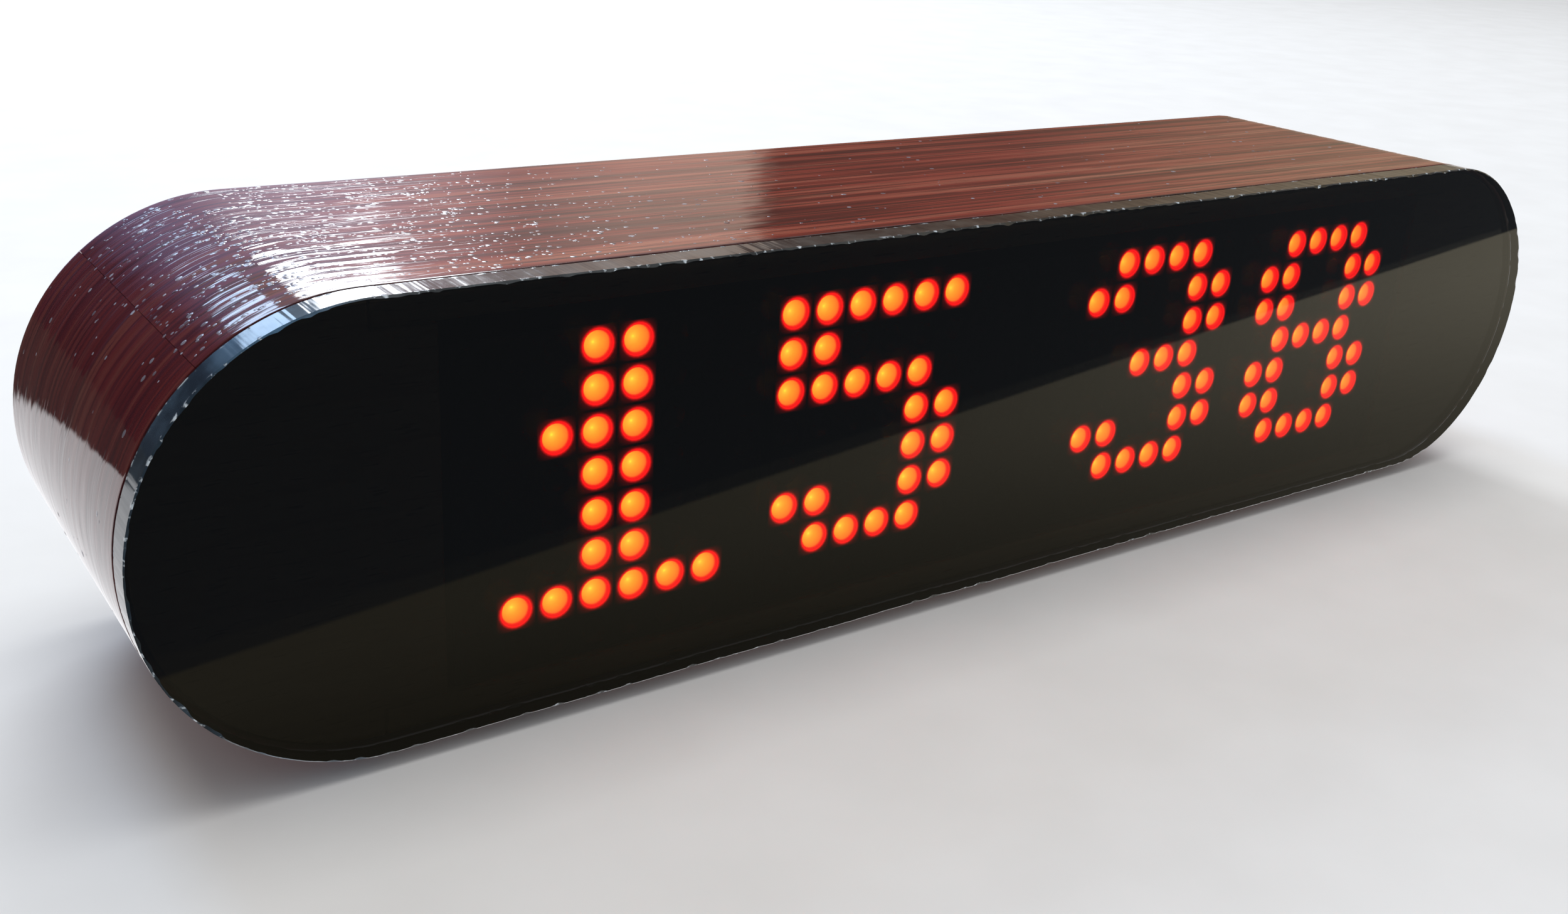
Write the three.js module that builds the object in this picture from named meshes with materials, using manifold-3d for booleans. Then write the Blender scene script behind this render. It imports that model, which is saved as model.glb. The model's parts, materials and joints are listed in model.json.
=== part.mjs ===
// A desk alarm clock in a long wooden body with round ends. A veneered band runs round a
// light wooden core, a smoked acrylic panel closes the front, and a screwed cover closes the
// rear. Four eight-by-eight LED modules sit behind the panel on a display board, and a
// control board behind them carries the processor, buzzer, buttons and alarm switch.
//
// Units are millimetres. X runs along the clock, to the right as seen from the front. The
// front faces -Y, and +Z is up. The origin is on the table, under the middle of the clock.

import * as THREE from 'three';
import { mergeVertices } from 'three/addons/utils/BufferGeometryUtils.js';
import Module from 'manifold-3d';

const wasm = await Module();
wasm.setup();

// ---- driving dimensions -------------------------------------------------------------------

const bodyLength = 185;
const bodyHeight = 41;
const bodyDepth = 40;
const panelThickness = 3;
const veneerThickness = 0.7;
const coreThickness = 2.5;
const glueGap = 0.1;
const veneerJointAngle = 40; // degrees from straight up, over the left end
const veneerJointWidth = 0.2;

const footHeight = 1.5;
const footRadius = 4;
const footX = 58;
const footY = 12;

const moduleSize = 32;
const moduleDepth = 8;
const modulePitch = 33;
const moduleLift = [-0.15, 0.1, 0.3, -0.25]; // hand soldered, so no two stand at one height
const displayDrop = 0.7; // the display's middle, below the middle of the body
const pinPitch = 2.54;
const pinRowSpacing = 24;
const pinWidth = 0.5;
const pinsPerRow = 8;

const circuitBoardThickness = 1.6;
const coverThickness = 2;
const coverRecess = 2.5; // from the band's rear edge in to the cover's outer face

const buttonX = { set: 10, minus: -4, plus: -18, snooze: -32 };
const alarmSwitchX = 26;
const buzzerX = -50;
const inletX = 52;

// ---- places worked out from them ----------------------------------------------------------

const frontY = -bodyDepth / 2;
const rearY = bodyDepth / 2;
const midZ = footHeight + bodyHeight / 2;
const endX = (bodyLength - bodyHeight) / 2; // the centre line of each round end
const outerRadius = bodyHeight / 2;
const coreRadius = outerRadius - veneerThickness - glueGap;
const roomRadius = coreRadius - coreThickness; // half the height of the room inside
const bandFrontY = frontY + panelThickness + glueGap;
const coverOuterY = rearY - coverRecess;
const coverInnerY = coverOuterY - coverThickness;
const touchGap = 0.2; // between pieces that are screwed or clipped together
const rabbetY = coverInnerY - touchGap; // the step that the cover rests on

const moduleFrontY = frontY + panelThickness + 0.3;
const displayMidZ = midZ - displayDrop;
const pinLength = 4;
const displayBoardFrontY = moduleFrontY + moduleDepth + pinLength + touchGap;
const displayBoardRearY = displayBoardFrontY + circuitBoardThickness;
const controlBoardFrontY = 8;
const controlBoardRearY = controlBoardFrontY + circuitBoardThickness;
const controlBoardX = [-66, 38];
const controlBoardHalfHeight = 15;

const coverScrewX = endX + 8;
const coverScrewZ = 9;
const supportX = [-62, 34];
const supportZ = 12;
const displayScrewX = endX - 3;
const ledgeX = 2 * modulePitch + touchGap; // just outside the row of modules

// ---- sizes of the small parts -------------------------------------------------------------

const coverScrew = { shank: 1.1, head: 2.6, headHeight: 1.6, length: 11.5, tip: 2.5 };
const boardScrew = { shank: 1.2, head: 2.4, headHeight: 1.5, length: 6.2, tip: 0.4 };
const displayScrew = { shank: 1, head: 1.9, headHeight: 1.2, length: 9, tip: 2 };
const pilotHole = { cover: 1.4, coverDepth: 11, display: 1.2, displayDepth: 9 };
const clearHole = { cover: 1.5, controlBoard: 1.6, displayBoard: 1.3 };
const ledgeOverlap = 5; // how far the ledge runs into the round end

const post = { tip: 0.8, barb: 2, barbLength: 1.7, neck: 1.35, outer: 2.9, bore: 1.5, floor: 1.2 };
const button = { stem: 1.65, flange: 3.7, flangeTop: 1.2, cap: 2.9, chamfer: 0.4, hole: 3.2, below: 0.6 };
const pushSwitch = { size: 6, height: 3.6, well: 1.9, wellDepth: 2.4, stemDepth: 1 };
const slideSwitch = { body: [8.6, 4.4], height: 4.6, pocket: [5.4, 2.6], pocketDepth: 2.2 };
const slideKnob = { size: [2, 2.2], offset: -1, depth: 2, below: 0.7, groove: 0.5, grooveDepth: 0.4 };
const slideSlot = [5, 3];
const soundHole = { radius: 1, circle: 4, count: 6 };

const barrel = { body: 5.2, shoulder: 5.7, shoulderHeight: 2, thread: 4, bore: 3.1, hole: 4.3 };
const barrelY = { back: 5, boreFloor: 4, below: 0.8 };
const contactPin = { radius: 1.1, nose: 0.6, noseLength: 0.6, back: 2, below: 1, bore: 1.4 };
const nut = { acrossFlats: 11, height: 1.6, bore: 4.2 };

const driverChip = { size: [15.4, 7.5], height: 2.4 };
const processorChip = { x: -10, z: 5, size: [35, 7.5], height: 3.5 };
const timeChip = { x: -10, z: -8, size: [10, 7.5], height: 2.4 };
const crystalCan = { x: 13, z: -8, size: [11, 4.5], height: 3.5 };
const capacitor = { x: 28, z: -6, radius: 3.2, height: 7, roll: 0.3, grooveRadius: 2.8, grooveAt: 1.1 };
const cell = { x: -42, radius: 10, height: 3.2, floor: 1.2 };
const cellHolder = { inner: 10.2, outer: 11.5, floor: 1, height: 5 };
const buzzerCan = { radius: 6, height: 5.4, mouth: 1.2, mouthDepth: 1.5 };

const leadRadius = 0.7;
const leadSpacing = 2.6;
const ribbon = { x: 22, width: 12.7, thickness: 0.9, upper: 12.5, lower: 4 };
const header = { size: [14.5, 4.5], height: 3 };

const arcSteps = 24; // per quarter turn of the band and the panel
const roundSteps = 24; // round a turned piece
const middleSteps = 16; // round a pin, a well or a capacitor
const smallSteps = 12; // round a screw or a small hole
const clearance = 1; // how far a cutter runs past the face that it opens

// ---- materials ----------------------------------------------------------------------------

function material(color, roughness, metalness = 0) {
  return new THREE.MeshStandardMaterial({ color, roughness, metalness });
}

const finishes = {
  veneer: () => material(0x6b3328, 0.25),
  coreWood: () => material(0xc49a6c, 0.8),
  smokedAcrylic: () => material(0x0d0f12, 0.06),
  coverAcrylic: () => material(0x141416, 0.3),
  rubber: () => material(0x1a1a1a, 0.9),
  blackPlastic: () => material(0x18181a, 0.5),
  greyPlastic: () => material(0x3a3b3e, 0.55),
  nylon: () => material(0xe6e2d6, 0.5),
  moduleEpoxy: () => material(0x16130f, 0.4),
  circuitBoard: () => material(0x1d5a34, 0.45),
  bareSteel: () => material(0xb9bcc0, 0.3, 1),
  nickel: () => material(0xd2d0c8, 0.2, 1),
  brass: () => material(0xc9a24a, 0.3, 1),
  redCover: () => material(0x9c1f1a, 0.5),
  blackCover: () => material(0x17171a, 0.5),
  ribbonCover: () => material(0x9a9a9c, 0.6),
  capacitorSleeve: () => material(0x1c2a4a, 0.4),
};

// ---- shapes -------------------------------------------------------------------------------

// A box given by its limits along each axis.
function block([x0, x1], [y0, y1], [z0, z1]) {
  const box = new THREE.BoxGeometry(x1 - x0, y1 - y0, z1 - z0);
  return box.translate((x0 + x1) / 2, (y0 + y1) / 2, (z0 + z1) / 2);
}

// A box that is centred on x and z and given by its sizes there.
function chip(x, z, sizeX, sizeZ, rangeY) {
  return block([x - sizeX / 2, x + sizeX / 2], rangeY, [z - sizeZ / 2, z + sizeZ / 2]);
}

// An outline in X and Z pushed out from y0 to y1.
function alongY(shape, y0, y1, curveSegments = arcSteps) {
  const slab = new THREE.ExtrudeGeometry(shape, { depth: y1 - y0, bevelEnabled: false, curveSegments });
  return slab.rotateX(Math.PI / 2).translate(0, y1, 0);
}

// Two straight sides joined by half circles, centred on the body.
function pill(radius) {
  const shape = new THREE.Shape();
  shape.absarc(endX, midZ, radius, -Math.PI / 2, Math.PI / 2, false);
  shape.absarc(-endX, midZ, radius, Math.PI / 2, 1.5 * Math.PI, false);
  shape.closePath();
  return shape;
}

function halfDisc(side, radius) {
  const shape = new THREE.Shape();
  shape.absarc(side * endX, midZ, radius, -side * Math.PI / 2, side * Math.PI / 2, false);
  shape.closePath();
  return shape;
}

// A round piece whose axis runs along Y. Each point of the profile is [radius, y].
function turned(profile, x = 0, z = 0, steps = roundSteps) {
  const points = profile.map(([radius, y]) => new THREE.Vector2(radius, y));
  return new THREE.LatheGeometry(points, steps).translate(x, 0, z);
}

function rod(radius, [y0, y1], x, z, steps = roundSteps) {
  return turned([[0, y0], [radius, y0], [radius, y1], [0, y1]], x, z, steps);
}

// A regular hexagonal prism along Y.
function hexagon(acrossFlats, [y0, y1], x, z) {
  const radius = acrossFlats / Math.sqrt(3);
  return rod(radius, [y0, y1], x, z, 6);
}

// ---- joining and cutting ------------------------------------------------------------------

function toSolid(geometry) {
  const bare = geometry.clone();
  bare.deleteAttribute('normal');
  bare.deleteAttribute('uv');
  const merged = mergeVertices(bare, 1e-4);
  const vertProperties = new Float32Array(merged.attributes.position.array);
  const triVerts = new Uint32Array(merged.index.array);
  return new wasm.Manifold(new wasm.Mesh({ numProp: 3, vertProperties, triVerts }));
}

function toGeometry(solid) {
  const mesh = solid.getMesh();
  const geometry = new THREE.BufferGeometry();
  geometry.setAttribute('position', new THREE.BufferAttribute(mesh.vertProperties, 3));
  geometry.setIndex(new THREE.BufferAttribute(mesh.triVerts, 1));
  geometry.computeVertexNormals();
  return geometry;
}

function joined(base, additions) {
  const start = toSolid(base);
  return toGeometry(additions.reduce((solid, piece) => solid.add(toSolid(piece)), start));
}

function cut(base, cutters) {
  const start = toSolid(base);
  return toGeometry(cutters.reduce((solid, piece) => solid.subtract(toSolid(piece)), start));
}

// ---- the assembly -------------------------------------------------------------------------

const clock = new THREE.Group();

function add(name, geometry, finish) {
  const mesh = new THREE.Mesh(geometry, finish());
  mesh.name = name;
  clock.add(mesh);
}

// The band: veneer wrapped once round the core, its ends meeting over the left end.
function addVeneer() {
  const ring = pill(outerRadius);
  ring.holes.push(pill(outerRadius - veneerThickness));
  const wrap = alongY(ring, bandFrontY, rearY);
  const slit = new THREE.BoxGeometry(veneerJointWidth, 2 * bodyDepth, 4 * veneerThickness);
  slit.translate(0, 0, outerRadius);
  slit.rotateY(-THREE.MathUtils.degToRad(veneerJointAngle));
  slit.translate(-endX, 0, midZ);
  add('veneer_wrap', cut(wrap, [slit]), finishes.veneer);
}

// The core: a thin board above and below, and a solid half-round block at each end. A ledge
// on each block carries the display board, and a rabbet at the rear carries the cover.
function addCore() {
  const boardX = [-endX + glueGap / 2, endX - glueGap / 2];
  const bandY = [bandFrontY, rearY];
  const upper = [midZ + roomRadius, midZ + coreRadius];
  const lower = [midZ - coreRadius, midZ - roomRadius];
  add('core_board_top', block(boardX, bandY, upper), finishes.coreWood);
  add('core_board_bottom', block(boardX, bandY, lower), finishes.coreWood);
  for (const [name, side] of [['end_block_left', -1], ['end_block_right', 1]]) {
    const ledgeLimits = [side * ledgeX, side * (endX + ledgeOverlap)].sort((a, b) => a - b);
    const ledgeHeight = [midZ - roomRadius + glueGap, midZ + roomRadius - glueGap];
    const ledge = block(ledgeLimits, [bandFrontY, displayBoardFrontY - touchGap], ledgeHeight);
    const round = alongY(halfDisc(side, coreRadius), bandFrontY, rearY);
    round.translate(side * glueGap / 2, 0, 0);
    const rabbet = alongY(pill(roomRadius), rabbetY, rearY + clearance);
    const holeY = [rabbetY - pilotHole.coverDepth, rabbetY + clearance];
    const screwHoles = [-coverScrewZ, coverScrewZ].map((z) => (
      rod(pilotHole.cover, holeY, side * coverScrewX, midZ + z, smallSteps)
    ));
    const displayHoleY = [displayBoardFrontY - pilotHole.displayDepth, displayBoardFrontY];
    const displayHole = rod(pilotHole.display, displayHoleY, side * displayScrewX, midZ, smallSteps);
    const blank = joined(round, [ledge]);
    add(name, cut(blank, [rabbet, ...screwHoles, displayHole]), finishes.coreWood);
  }
}

function addFrontPanel() {
  const plate = alongY(pill(outerRadius), frontY, frontY + panelThickness);
  add('front_panel', plate, finishes.smokedAcrylic);
}

// The rear cover, with its holes for screws, buttons, the alarm switch, the inlet and sound.
function addRearCover() {
  const through = [coverInnerY - clearance, coverOuterY + clearance];
  const cutters = [];
  for (const side of [-1, 1]) {
    for (const z of [-coverScrewZ, coverScrewZ]) {
      cutters.push(rod(clearHole.cover, through, side * coverScrewX, midZ + z, smallSteps));
    }
  }
  for (const x of supportX) {
    for (const z of [-supportZ, supportZ]) {
      cutters.push(rod(clearHole.cover, through, x, midZ + z, smallSteps));
    }
  }
  for (const x of Object.values(buttonX)) {
    cutters.push(rod(button.hole, through, x, midZ));
  }
  cutters.push(chip(alarmSwitchX, midZ, ...slideSlot, through));
  cutters.push(rod(barrel.hole, through, inletX, midZ));
  cutters.push(rod(soundHole.radius, through, buzzerX, midZ, smallSteps));
  for (let i = 0; i < soundHole.count; i += 1) {
    const angle = 2 * Math.PI * i / soundHole.count;
    const x = buzzerX + soundHole.circle * Math.cos(angle);
    const z = midZ + soundHole.circle * Math.sin(angle);
    cutters.push(rod(soundHole.radius, through, x, z, smallSteps));
  }
  const plate = alongY(pill(roomRadius - touchGap / 2), coverInnerY, coverOuterY);
  add('rear_cover', cut(plate, cutters), finishes.coverAcrylic);
}

function addFeet() {
  const chamfer = 0.3;
  const top = footHeight - glueGap / 2;
  const profile = [
    [0, 0],
    [footRadius - chamfer, 0],
    [footRadius, chamfer],
    [footRadius, top],
    [0, top],
  ];
  for (const [row, y] of [['front', -footY], ['rear', footY]]) {
    for (const [hand, x] of [['left', -footX], ['right', footX]]) {
      const foot = turned(profile).rotateX(Math.PI / 2);
      add(`foot_${row}_${hand}`, foot.translate(x, y, 0), finishes.rubber);
    }
  }
}

// A screw with a low domed head and a cross recess. It enters towards -Y, and seatY is where
// the head bears.
function screw(x, z, seatY, { shank, head, headHeight, length, tip }) {
  const body = turned([
    [0, seatY - length],
    [shank * 0.4, seatY - length],
    [shank, seatY - length + tip],
    [shank, seatY],
    [head, seatY],
    [head, seatY + headHeight * 0.45],
    [head * 0.75, seatY + headHeight * 0.85],
    [0, seatY + headHeight],
  ], x, z, smallSteps);
  const slotWidth = head * 0.28;
  const slotLength = head * 1.15;
  const slotY = [seatY + headHeight * 0.4, seatY + headHeight + clearance];
  return cut(body, [
    chip(x, z, slotWidth, slotLength, slotY),
    chip(x, z, slotLength, slotWidth, slotY),
  ]);
}

function addScrews() {
  const seatY = coverOuterY + touchGap / 2;
  let count = 0;
  for (const side of [-1, 1]) {
    for (const z of [-coverScrewZ, coverScrewZ]) {
      count += 1;
      const piece = screw(side * coverScrewX, midZ + z, seatY, coverScrew);
      add(`cover_screw_${count}`, piece, finishes.bareSteel);
    }
  }
  count = 0;
  for (const x of supportX) {
    for (const z of [-supportZ, supportZ]) {
      count += 1;
      const piece = screw(x, midZ + z, seatY, boardScrew);
      add(`board_screw_${count}`, piece, finishes.bareSteel);
    }
  }
  const displaySeatY = displayBoardRearY + touchGap / 2;
  for (const [hand, side] of [['left', -1], ['right', 1]]) {
    const piece = screw(side * displayScrewX, midZ, displaySeatY, displayScrew);
    add(`display_screw_${hand}`, piece, finishes.bareSteel);
  }
}

// A nylon support: a post that a cover screw bites into, with a snap tip through the board.
function addBoardSupports() {
  const postY = [controlBoardRearY + touchGap, coverInnerY - touchGap / 2];
  const tipY = controlBoardFrontY - touchGap;
  let count = 0;
  for (const x of supportX) {
    for (const z of [-supportZ, supportZ]) {
      count += 1;
      const support = turned([
        [0, tipY - post.barbLength],
        [post.tip, tipY - post.barbLength],
        [post.barb, tipY],
        [post.neck, tipY],
        [post.neck, postY[0]],
        [post.outer, postY[0]],
        [post.outer, postY[1]],
        [post.bore, postY[1]],
        [post.bore, postY[0] + post.floor],
        [0, postY[0] + post.floor],
      ], x, midZ + z, smallSteps);
      add(`board_support_${count}`, support, finishes.nylon);
    }
  }
}

// The display: four modules whose pins stand on one board, with a driver behind each.
function addDisplay() {
  const moduleRearY = moduleFrontY + moduleDepth;
  const pinY = [moduleRearY - pinWidth, moduleRearY + pinLength];
  const driverY = [displayBoardRearY + glueGap, displayBoardRearY + glueGap + driverChip.height];
  moduleLift.forEach((lift, index) => {
    const x = (index - 1.5) * modulePitch;
    const z = displayMidZ + lift;
    const pins = [];
    for (const row of [-pinRowSpacing / 2, pinRowSpacing / 2]) {
      for (let i = 0; i < pinsPerRow; i += 1) {
        const pinX = x + (i - (pinsPerRow - 1) / 2) * pinPitch;
        pins.push(chip(pinX, z + row, pinWidth, pinWidth, pinY));
      }
    }
    const body = chip(x, z, moduleSize, moduleSize, [moduleFrontY, moduleRearY]);
    add(`led_module_${index + 1}`, joined(body, pins), finishes.moduleEpoxy);
    const driver = chip(x, displayMidZ, ...driverChip.size, driverY);
    add(`driver_chip_${index + 1}`, driver, finishes.blackPlastic);
  });
  const boardX = [-endX + 5 * glueGap, endX - 5 * glueGap];
  const boardZ = [midZ - roomRadius + 2 * glueGap, midZ + roomRadius - 2 * glueGap];
  const board = block(boardX, [displayBoardFrontY, displayBoardRearY], boardZ);
  const through = [displayBoardFrontY - clearance, displayBoardRearY + clearance];
  const holes = [-1, 1].map((side) => (
    rod(clearHole.displayBoard, through, side * displayScrewX, midZ, smallSteps)
  ));
  add('display_board', cut(board, holes), finishes.circuitBoard);
}

// The control board and what stands on the side that faces the display.
function addControlBoard() {
  const boardY = [controlBoardFrontY, controlBoardRearY];
  const boardZ = [midZ - controlBoardHalfHeight, midZ + controlBoardHalfHeight];
  const through = [boardY[0] - clearance, boardY[1] + clearance];
  const holes = [];
  for (const x of supportX) {
    for (const z of [-supportZ, supportZ]) {
      holes.push(rod(clearHole.controlBoard, through, x, midZ + z, smallSteps));
    }
  }
  add('control_board', cut(block(controlBoardX, boardY, boardZ), holes), finishes.circuitBoard);
  const standY = controlBoardFrontY - glueGap;
  const standing = ({ x, z, size, height }) => chip(x, midZ + z, ...size, [standY - height, standY]);
  add('processor', standing(processorChip), finishes.blackPlastic);
  add('clock_chip', standing(timeChip), finishes.blackPlastic);
  add('crystal', standing(crystalCan), finishes.nickel);
  const canTopY = standY - capacitor.height;
  const grooveY = standY - capacitor.grooveAt;
  const can = turned([
    [0, canTopY],
    [capacitor.radius - capacitor.roll, canTopY],
    [capacitor.radius, canTopY + capacitor.roll],
    [capacitor.radius, grooveY - capacitor.roll],
    [capacitor.grooveRadius, grooveY],
    [capacitor.radius, grooveY + capacitor.roll],
    [capacitor.radius, standY],
    [0, standY],
  ], capacitor.x, midZ + capacitor.z, middleSteps);
  add('filter_capacitor', can, finishes.capacitorSleeve);
  const holder = turned([
    [0, standY - cellHolder.floor],
    [cellHolder.inner, standY - cellHolder.floor],
    [cellHolder.inner, standY - cellHolder.height],
    [cellHolder.outer, standY - cellHolder.height],
    [cellHolder.outer, standY],
    [0, standY],
  ], cell.x, midZ);
  add('coin_cell_holder', holder, finishes.blackPlastic);
  const cellY = standY - cell.floor;
  add('coin_cell', rod(cell.radius, [cellY - cell.height, cellY], cell.x, midZ), finishes.nickel);
}

// The buzzer, which stands on the rear of the control board and faces the sound holes.
function addBuzzer() {
  const baseY = controlBoardRearY + glueGap;
  const topY = baseY + buzzerCan.height;
  const can = turned([
    [0, baseY],
    [buzzerCan.radius, baseY],
    [buzzerCan.radius, topY],
    [buzzerCan.mouth, topY],
    [buzzerCan.mouth, topY - buzzerCan.mouthDepth],
    [0, topY - buzzerCan.mouthDepth],
  ], buzzerX, midZ);
  add('buzzer', can, finishes.blackPlastic);
}

// Four push buttons. Each cap stands through the cover, is kept in by its flange, and its
// foot works in the switch body on the control board.
function addButtons() {
  const baseY = controlBoardRearY + glueGap;
  const switchY = [baseY, baseY + pushSwitch.height];
  const wellY = [switchY[1] - pushSwitch.wellDepth, switchY[1] + clearance];
  const stemY = switchY[1] - pushSwitch.stemDepth;
  const capTopY = rearY - button.below;
  const flangeY = [coverInnerY - button.flangeTop, coverInnerY - touchGap];
  for (const [name, x] of Object.entries(buttonX)) {
    const housing = chip(x, midZ, pushSwitch.size, pushSwitch.size, switchY);
    const well = rod(pushSwitch.well, wellY, x, midZ, middleSteps);
    add(`switch_body_${name}`, cut(housing, [well]), finishes.greyPlastic);
    const cap = turned([
      [0, stemY],
      [button.stem, stemY],
      [button.stem, flangeY[0]],
      [button.flange, flangeY[0]],
      [button.flange, flangeY[1]],
      [button.cap, flangeY[1]],
      [button.cap, capTopY - button.chamfer],
      [button.cap - button.chamfer, capTopY],
      [0, capTopY],
    ], x, midZ);
    add(`button_${name}`, cap, finishes.blackPlastic);
  }
}

// The alarm switch: its knob slides along the cover's slot, in a pocket of the body.
function addAlarmSwitch() {
  const baseY = controlBoardRearY + glueGap;
  const rimY = baseY + slideSwitch.height;
  const body = chip(alarmSwitchX, midZ, ...slideSwitch.body, [baseY, rimY]);
  const pocketY = [rimY - slideSwitch.pocketDepth, rimY + clearance];
  const pocket = chip(alarmSwitchX, midZ, ...slideSwitch.pocket, pocketY);
  add('alarm_switch_body', cut(body, [pocket]), finishes.bareSteel);
  const knobX = alarmSwitchX + slideKnob.offset;
  const knobTopY = rearY - slideKnob.below;
  const knob = chip(knobX, midZ, ...slideKnob.size, [rimY - slideKnob.depth, knobTopY]);
  const grooveY = [knobTopY - slideKnob.grooveDepth, knobTopY + clearance];
  const groove = chip(knobX, midZ, slideKnob.groove, slideSlot[1], grooveY);
  add('alarm_switch_knob', cut(knob, [groove]), finishes.blackPlastic);
}

// The power inlet: a threaded barrel through the cover, held by a nut, with a contact pin.
function addInlet() {
  const mouthY = rearY - barrelY.below;
  const shoulderY = coverInnerY - touchGap / 2;
  const floorY = barrelY.back + barrelY.boreFloor;
  const socket = turned([
    [contactPin.bore, barrelY.back],
    [barrel.body, barrelY.back],
    [barrel.body, shoulderY - barrel.shoulderHeight],
    [barrel.shoulder, shoulderY - barrel.shoulderHeight],
    [barrel.shoulder, shoulderY],
    [barrel.thread, shoulderY],
    [barrel.thread, mouthY],
    [barrel.bore, mouthY],
    [barrel.bore, floorY],
    [contactPin.bore, floorY],
    [contactPin.bore, barrelY.back],
  ], inletX, midZ);
  add('inlet_barrel', socket, finishes.blackPlastic);
  const pinBackY = barrelY.back - contactPin.back;
  const noseY = mouthY - contactPin.below;
  const pin = turned([
    [0, pinBackY],
    [contactPin.radius, pinBackY],
    [contactPin.radius, noseY - contactPin.noseLength],
    [contactPin.nose, noseY],
    [0, noseY],
  ], inletX, midZ, middleSteps);
  add('inlet_pin', pin, finishes.brass);
  const nutBaseY = coverOuterY + touchGap / 2;
  const blank = hexagon(nut.acrossFlats, [nutBaseY, nutBaseY + nut.height], inletX, midZ);
  const boreY = [nutBaseY - clearance, nutBaseY + nut.height + clearance];
  add('inlet_nut', cut(blank, [rod(nut.bore, boreY, inletX, midZ)]), finishes.nickel);
}

// A wire of round section along a smooth curve through the points given.
function wire(points, radius) {
  const path = new THREE.CatmullRomCurve3(points.map((point) => new THREE.Vector3(...point)));
  const section = new THREE.Shape();
  const corners = 8;
  for (let i = 0; i < corners; i += 1) {
    const angle = 2 * Math.PI * i / corners;
    const corner = [radius * Math.cos(angle), radius * Math.sin(angle)];
    if (i === 0) section.moveTo(...corner);
    else section.lineTo(...corner);
  }
  section.closePath();
  return new THREE.ExtrudeGeometry(section, { steps: 14, bevelEnabled: false, extrudePath: path });
}

// Two leads from the back of the inlet to the control board.
function addLeads() {
  const lugY = 3;
  const boardY = controlBoardFrontY - touchGap;
  const leads = [
    ['red', leadSpacing, finishes.redCover],
    ['black', -leadSpacing, finishes.blackCover],
  ];
  for (const [name, z, finish] of leads) {
    const route = [
      [inletX, lugY + 1.6, midZ + z],
      [inletX - 0.4, lugY - 0.4, midZ + z],
      [inletX - 4, lugY - 1.6, midZ + z * 1.1],
      [inletX - 9, lugY - 1.4, midZ + z * 1.25],
      [inletX - 14, lugY - 0.6, midZ + z * 1.3],
      [inletX - 16.4, lugY + 1.6, midZ + z * 1.3],
      [inletX - 16.8, boardY, midZ + z * 1.3],
    ];
    add(`inlet_lead_${name}`, wire(route, leadRadius), finish);
  }
}

// The flat cable between the two boards, and the header that each end stands in. It bends
// down and back in one S, with its wires side by side along X.
function addRibbon() {
  const { x } = ribbon;
  const upperZ = midZ + ribbon.upper;
  const lowerZ = midZ + ribbon.lower;
  const displayHeaderY = [displayBoardRearY + glueGap, displayBoardRearY + glueGap + header.height];
  const controlHeaderY = [controlBoardFrontY - header.height, controlBoardFrontY - glueGap];
  add('display_header', chip(x, upperZ, ...header.size, displayHeaderY), finishes.blackPlastic);
  add('control_header', chip(x, lowerZ, ...header.size, controlHeaderY), finishes.blackPlastic);
  const start = displayHeaderY[1] + touchGap;
  const end = controlHeaderY[0] - touchGap;
  const bend = 0.7 * (end - start);
  const middle = new THREE.CubicBezierCurve(
    new THREE.Vector2(start, upperZ),
    new THREE.Vector2(start + bend, upperZ),
    new THREE.Vector2(end - bend, lowerZ),
    new THREE.Vector2(end, lowerZ),
  );
  const steps = 12;
  const upper = [];
  const lower = [];
  for (let i = 0; i <= steps; i += 1) {
    const at = middle.getPoint(i / steps);
    const along = middle.getTangent(i / steps);
    const offset = new THREE.Vector2(-along.y, along.x).multiplyScalar(ribbon.thickness / 2);
    upper.push(at.clone().add(offset));
    lower.push(at.clone().sub(offset));
  }
  const outline = new THREE.Shape([...lower, ...upper.reverse()]);
  const cable = new THREE.ExtrudeGeometry(outline, { depth: ribbon.width, bevelEnabled: false });
  // The outline lies in Y and Z, so the extrusion is stood up to run along X.
  const stand = new THREE.Matrix4().makeBasis(
    new THREE.Vector3(0, 1, 0),
    new THREE.Vector3(0, 0, 1),
    new THREE.Vector3(1, 0, 0),
  );
  cable.applyMatrix4(stand).translate(x - ribbon.width / 2, 0, 0);
  add('ribbon_cable', cable, finishes.ribbonCover);
}

addVeneer();
addCore();
addFrontPanel();
addRearCover();
addFeet();
addScrews();
addBoardSupports();
addDisplay();
addControlBoard();
addBuzzer();
addButtons();
addAlarmSwitch();
addInlet();
addLeads();
addRibbon();

export default clock;
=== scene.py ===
# %% [markdown]
# A desk alarm clock: a long case with two round ends, wrapped once in dark striped veneer under
# thick brushed lacquer, with a smoked acrylic front. Four dot modules behind the front show the
# time, and a screwed cover with buttons, a switch, sound holes and a power inlet closes the rear.
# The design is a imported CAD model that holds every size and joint. This script loads it, builds
# the fine surfaces round it and gives each piece its finish. Lengths are in metres, +Z is up, and
# the clock faces -Y. Loading comes first, because every place below is read from the design.

# %% Load the design
import json
import math
import random

import bmesh
import bpy
from mathutils import Matrix, Vector, noise


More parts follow.
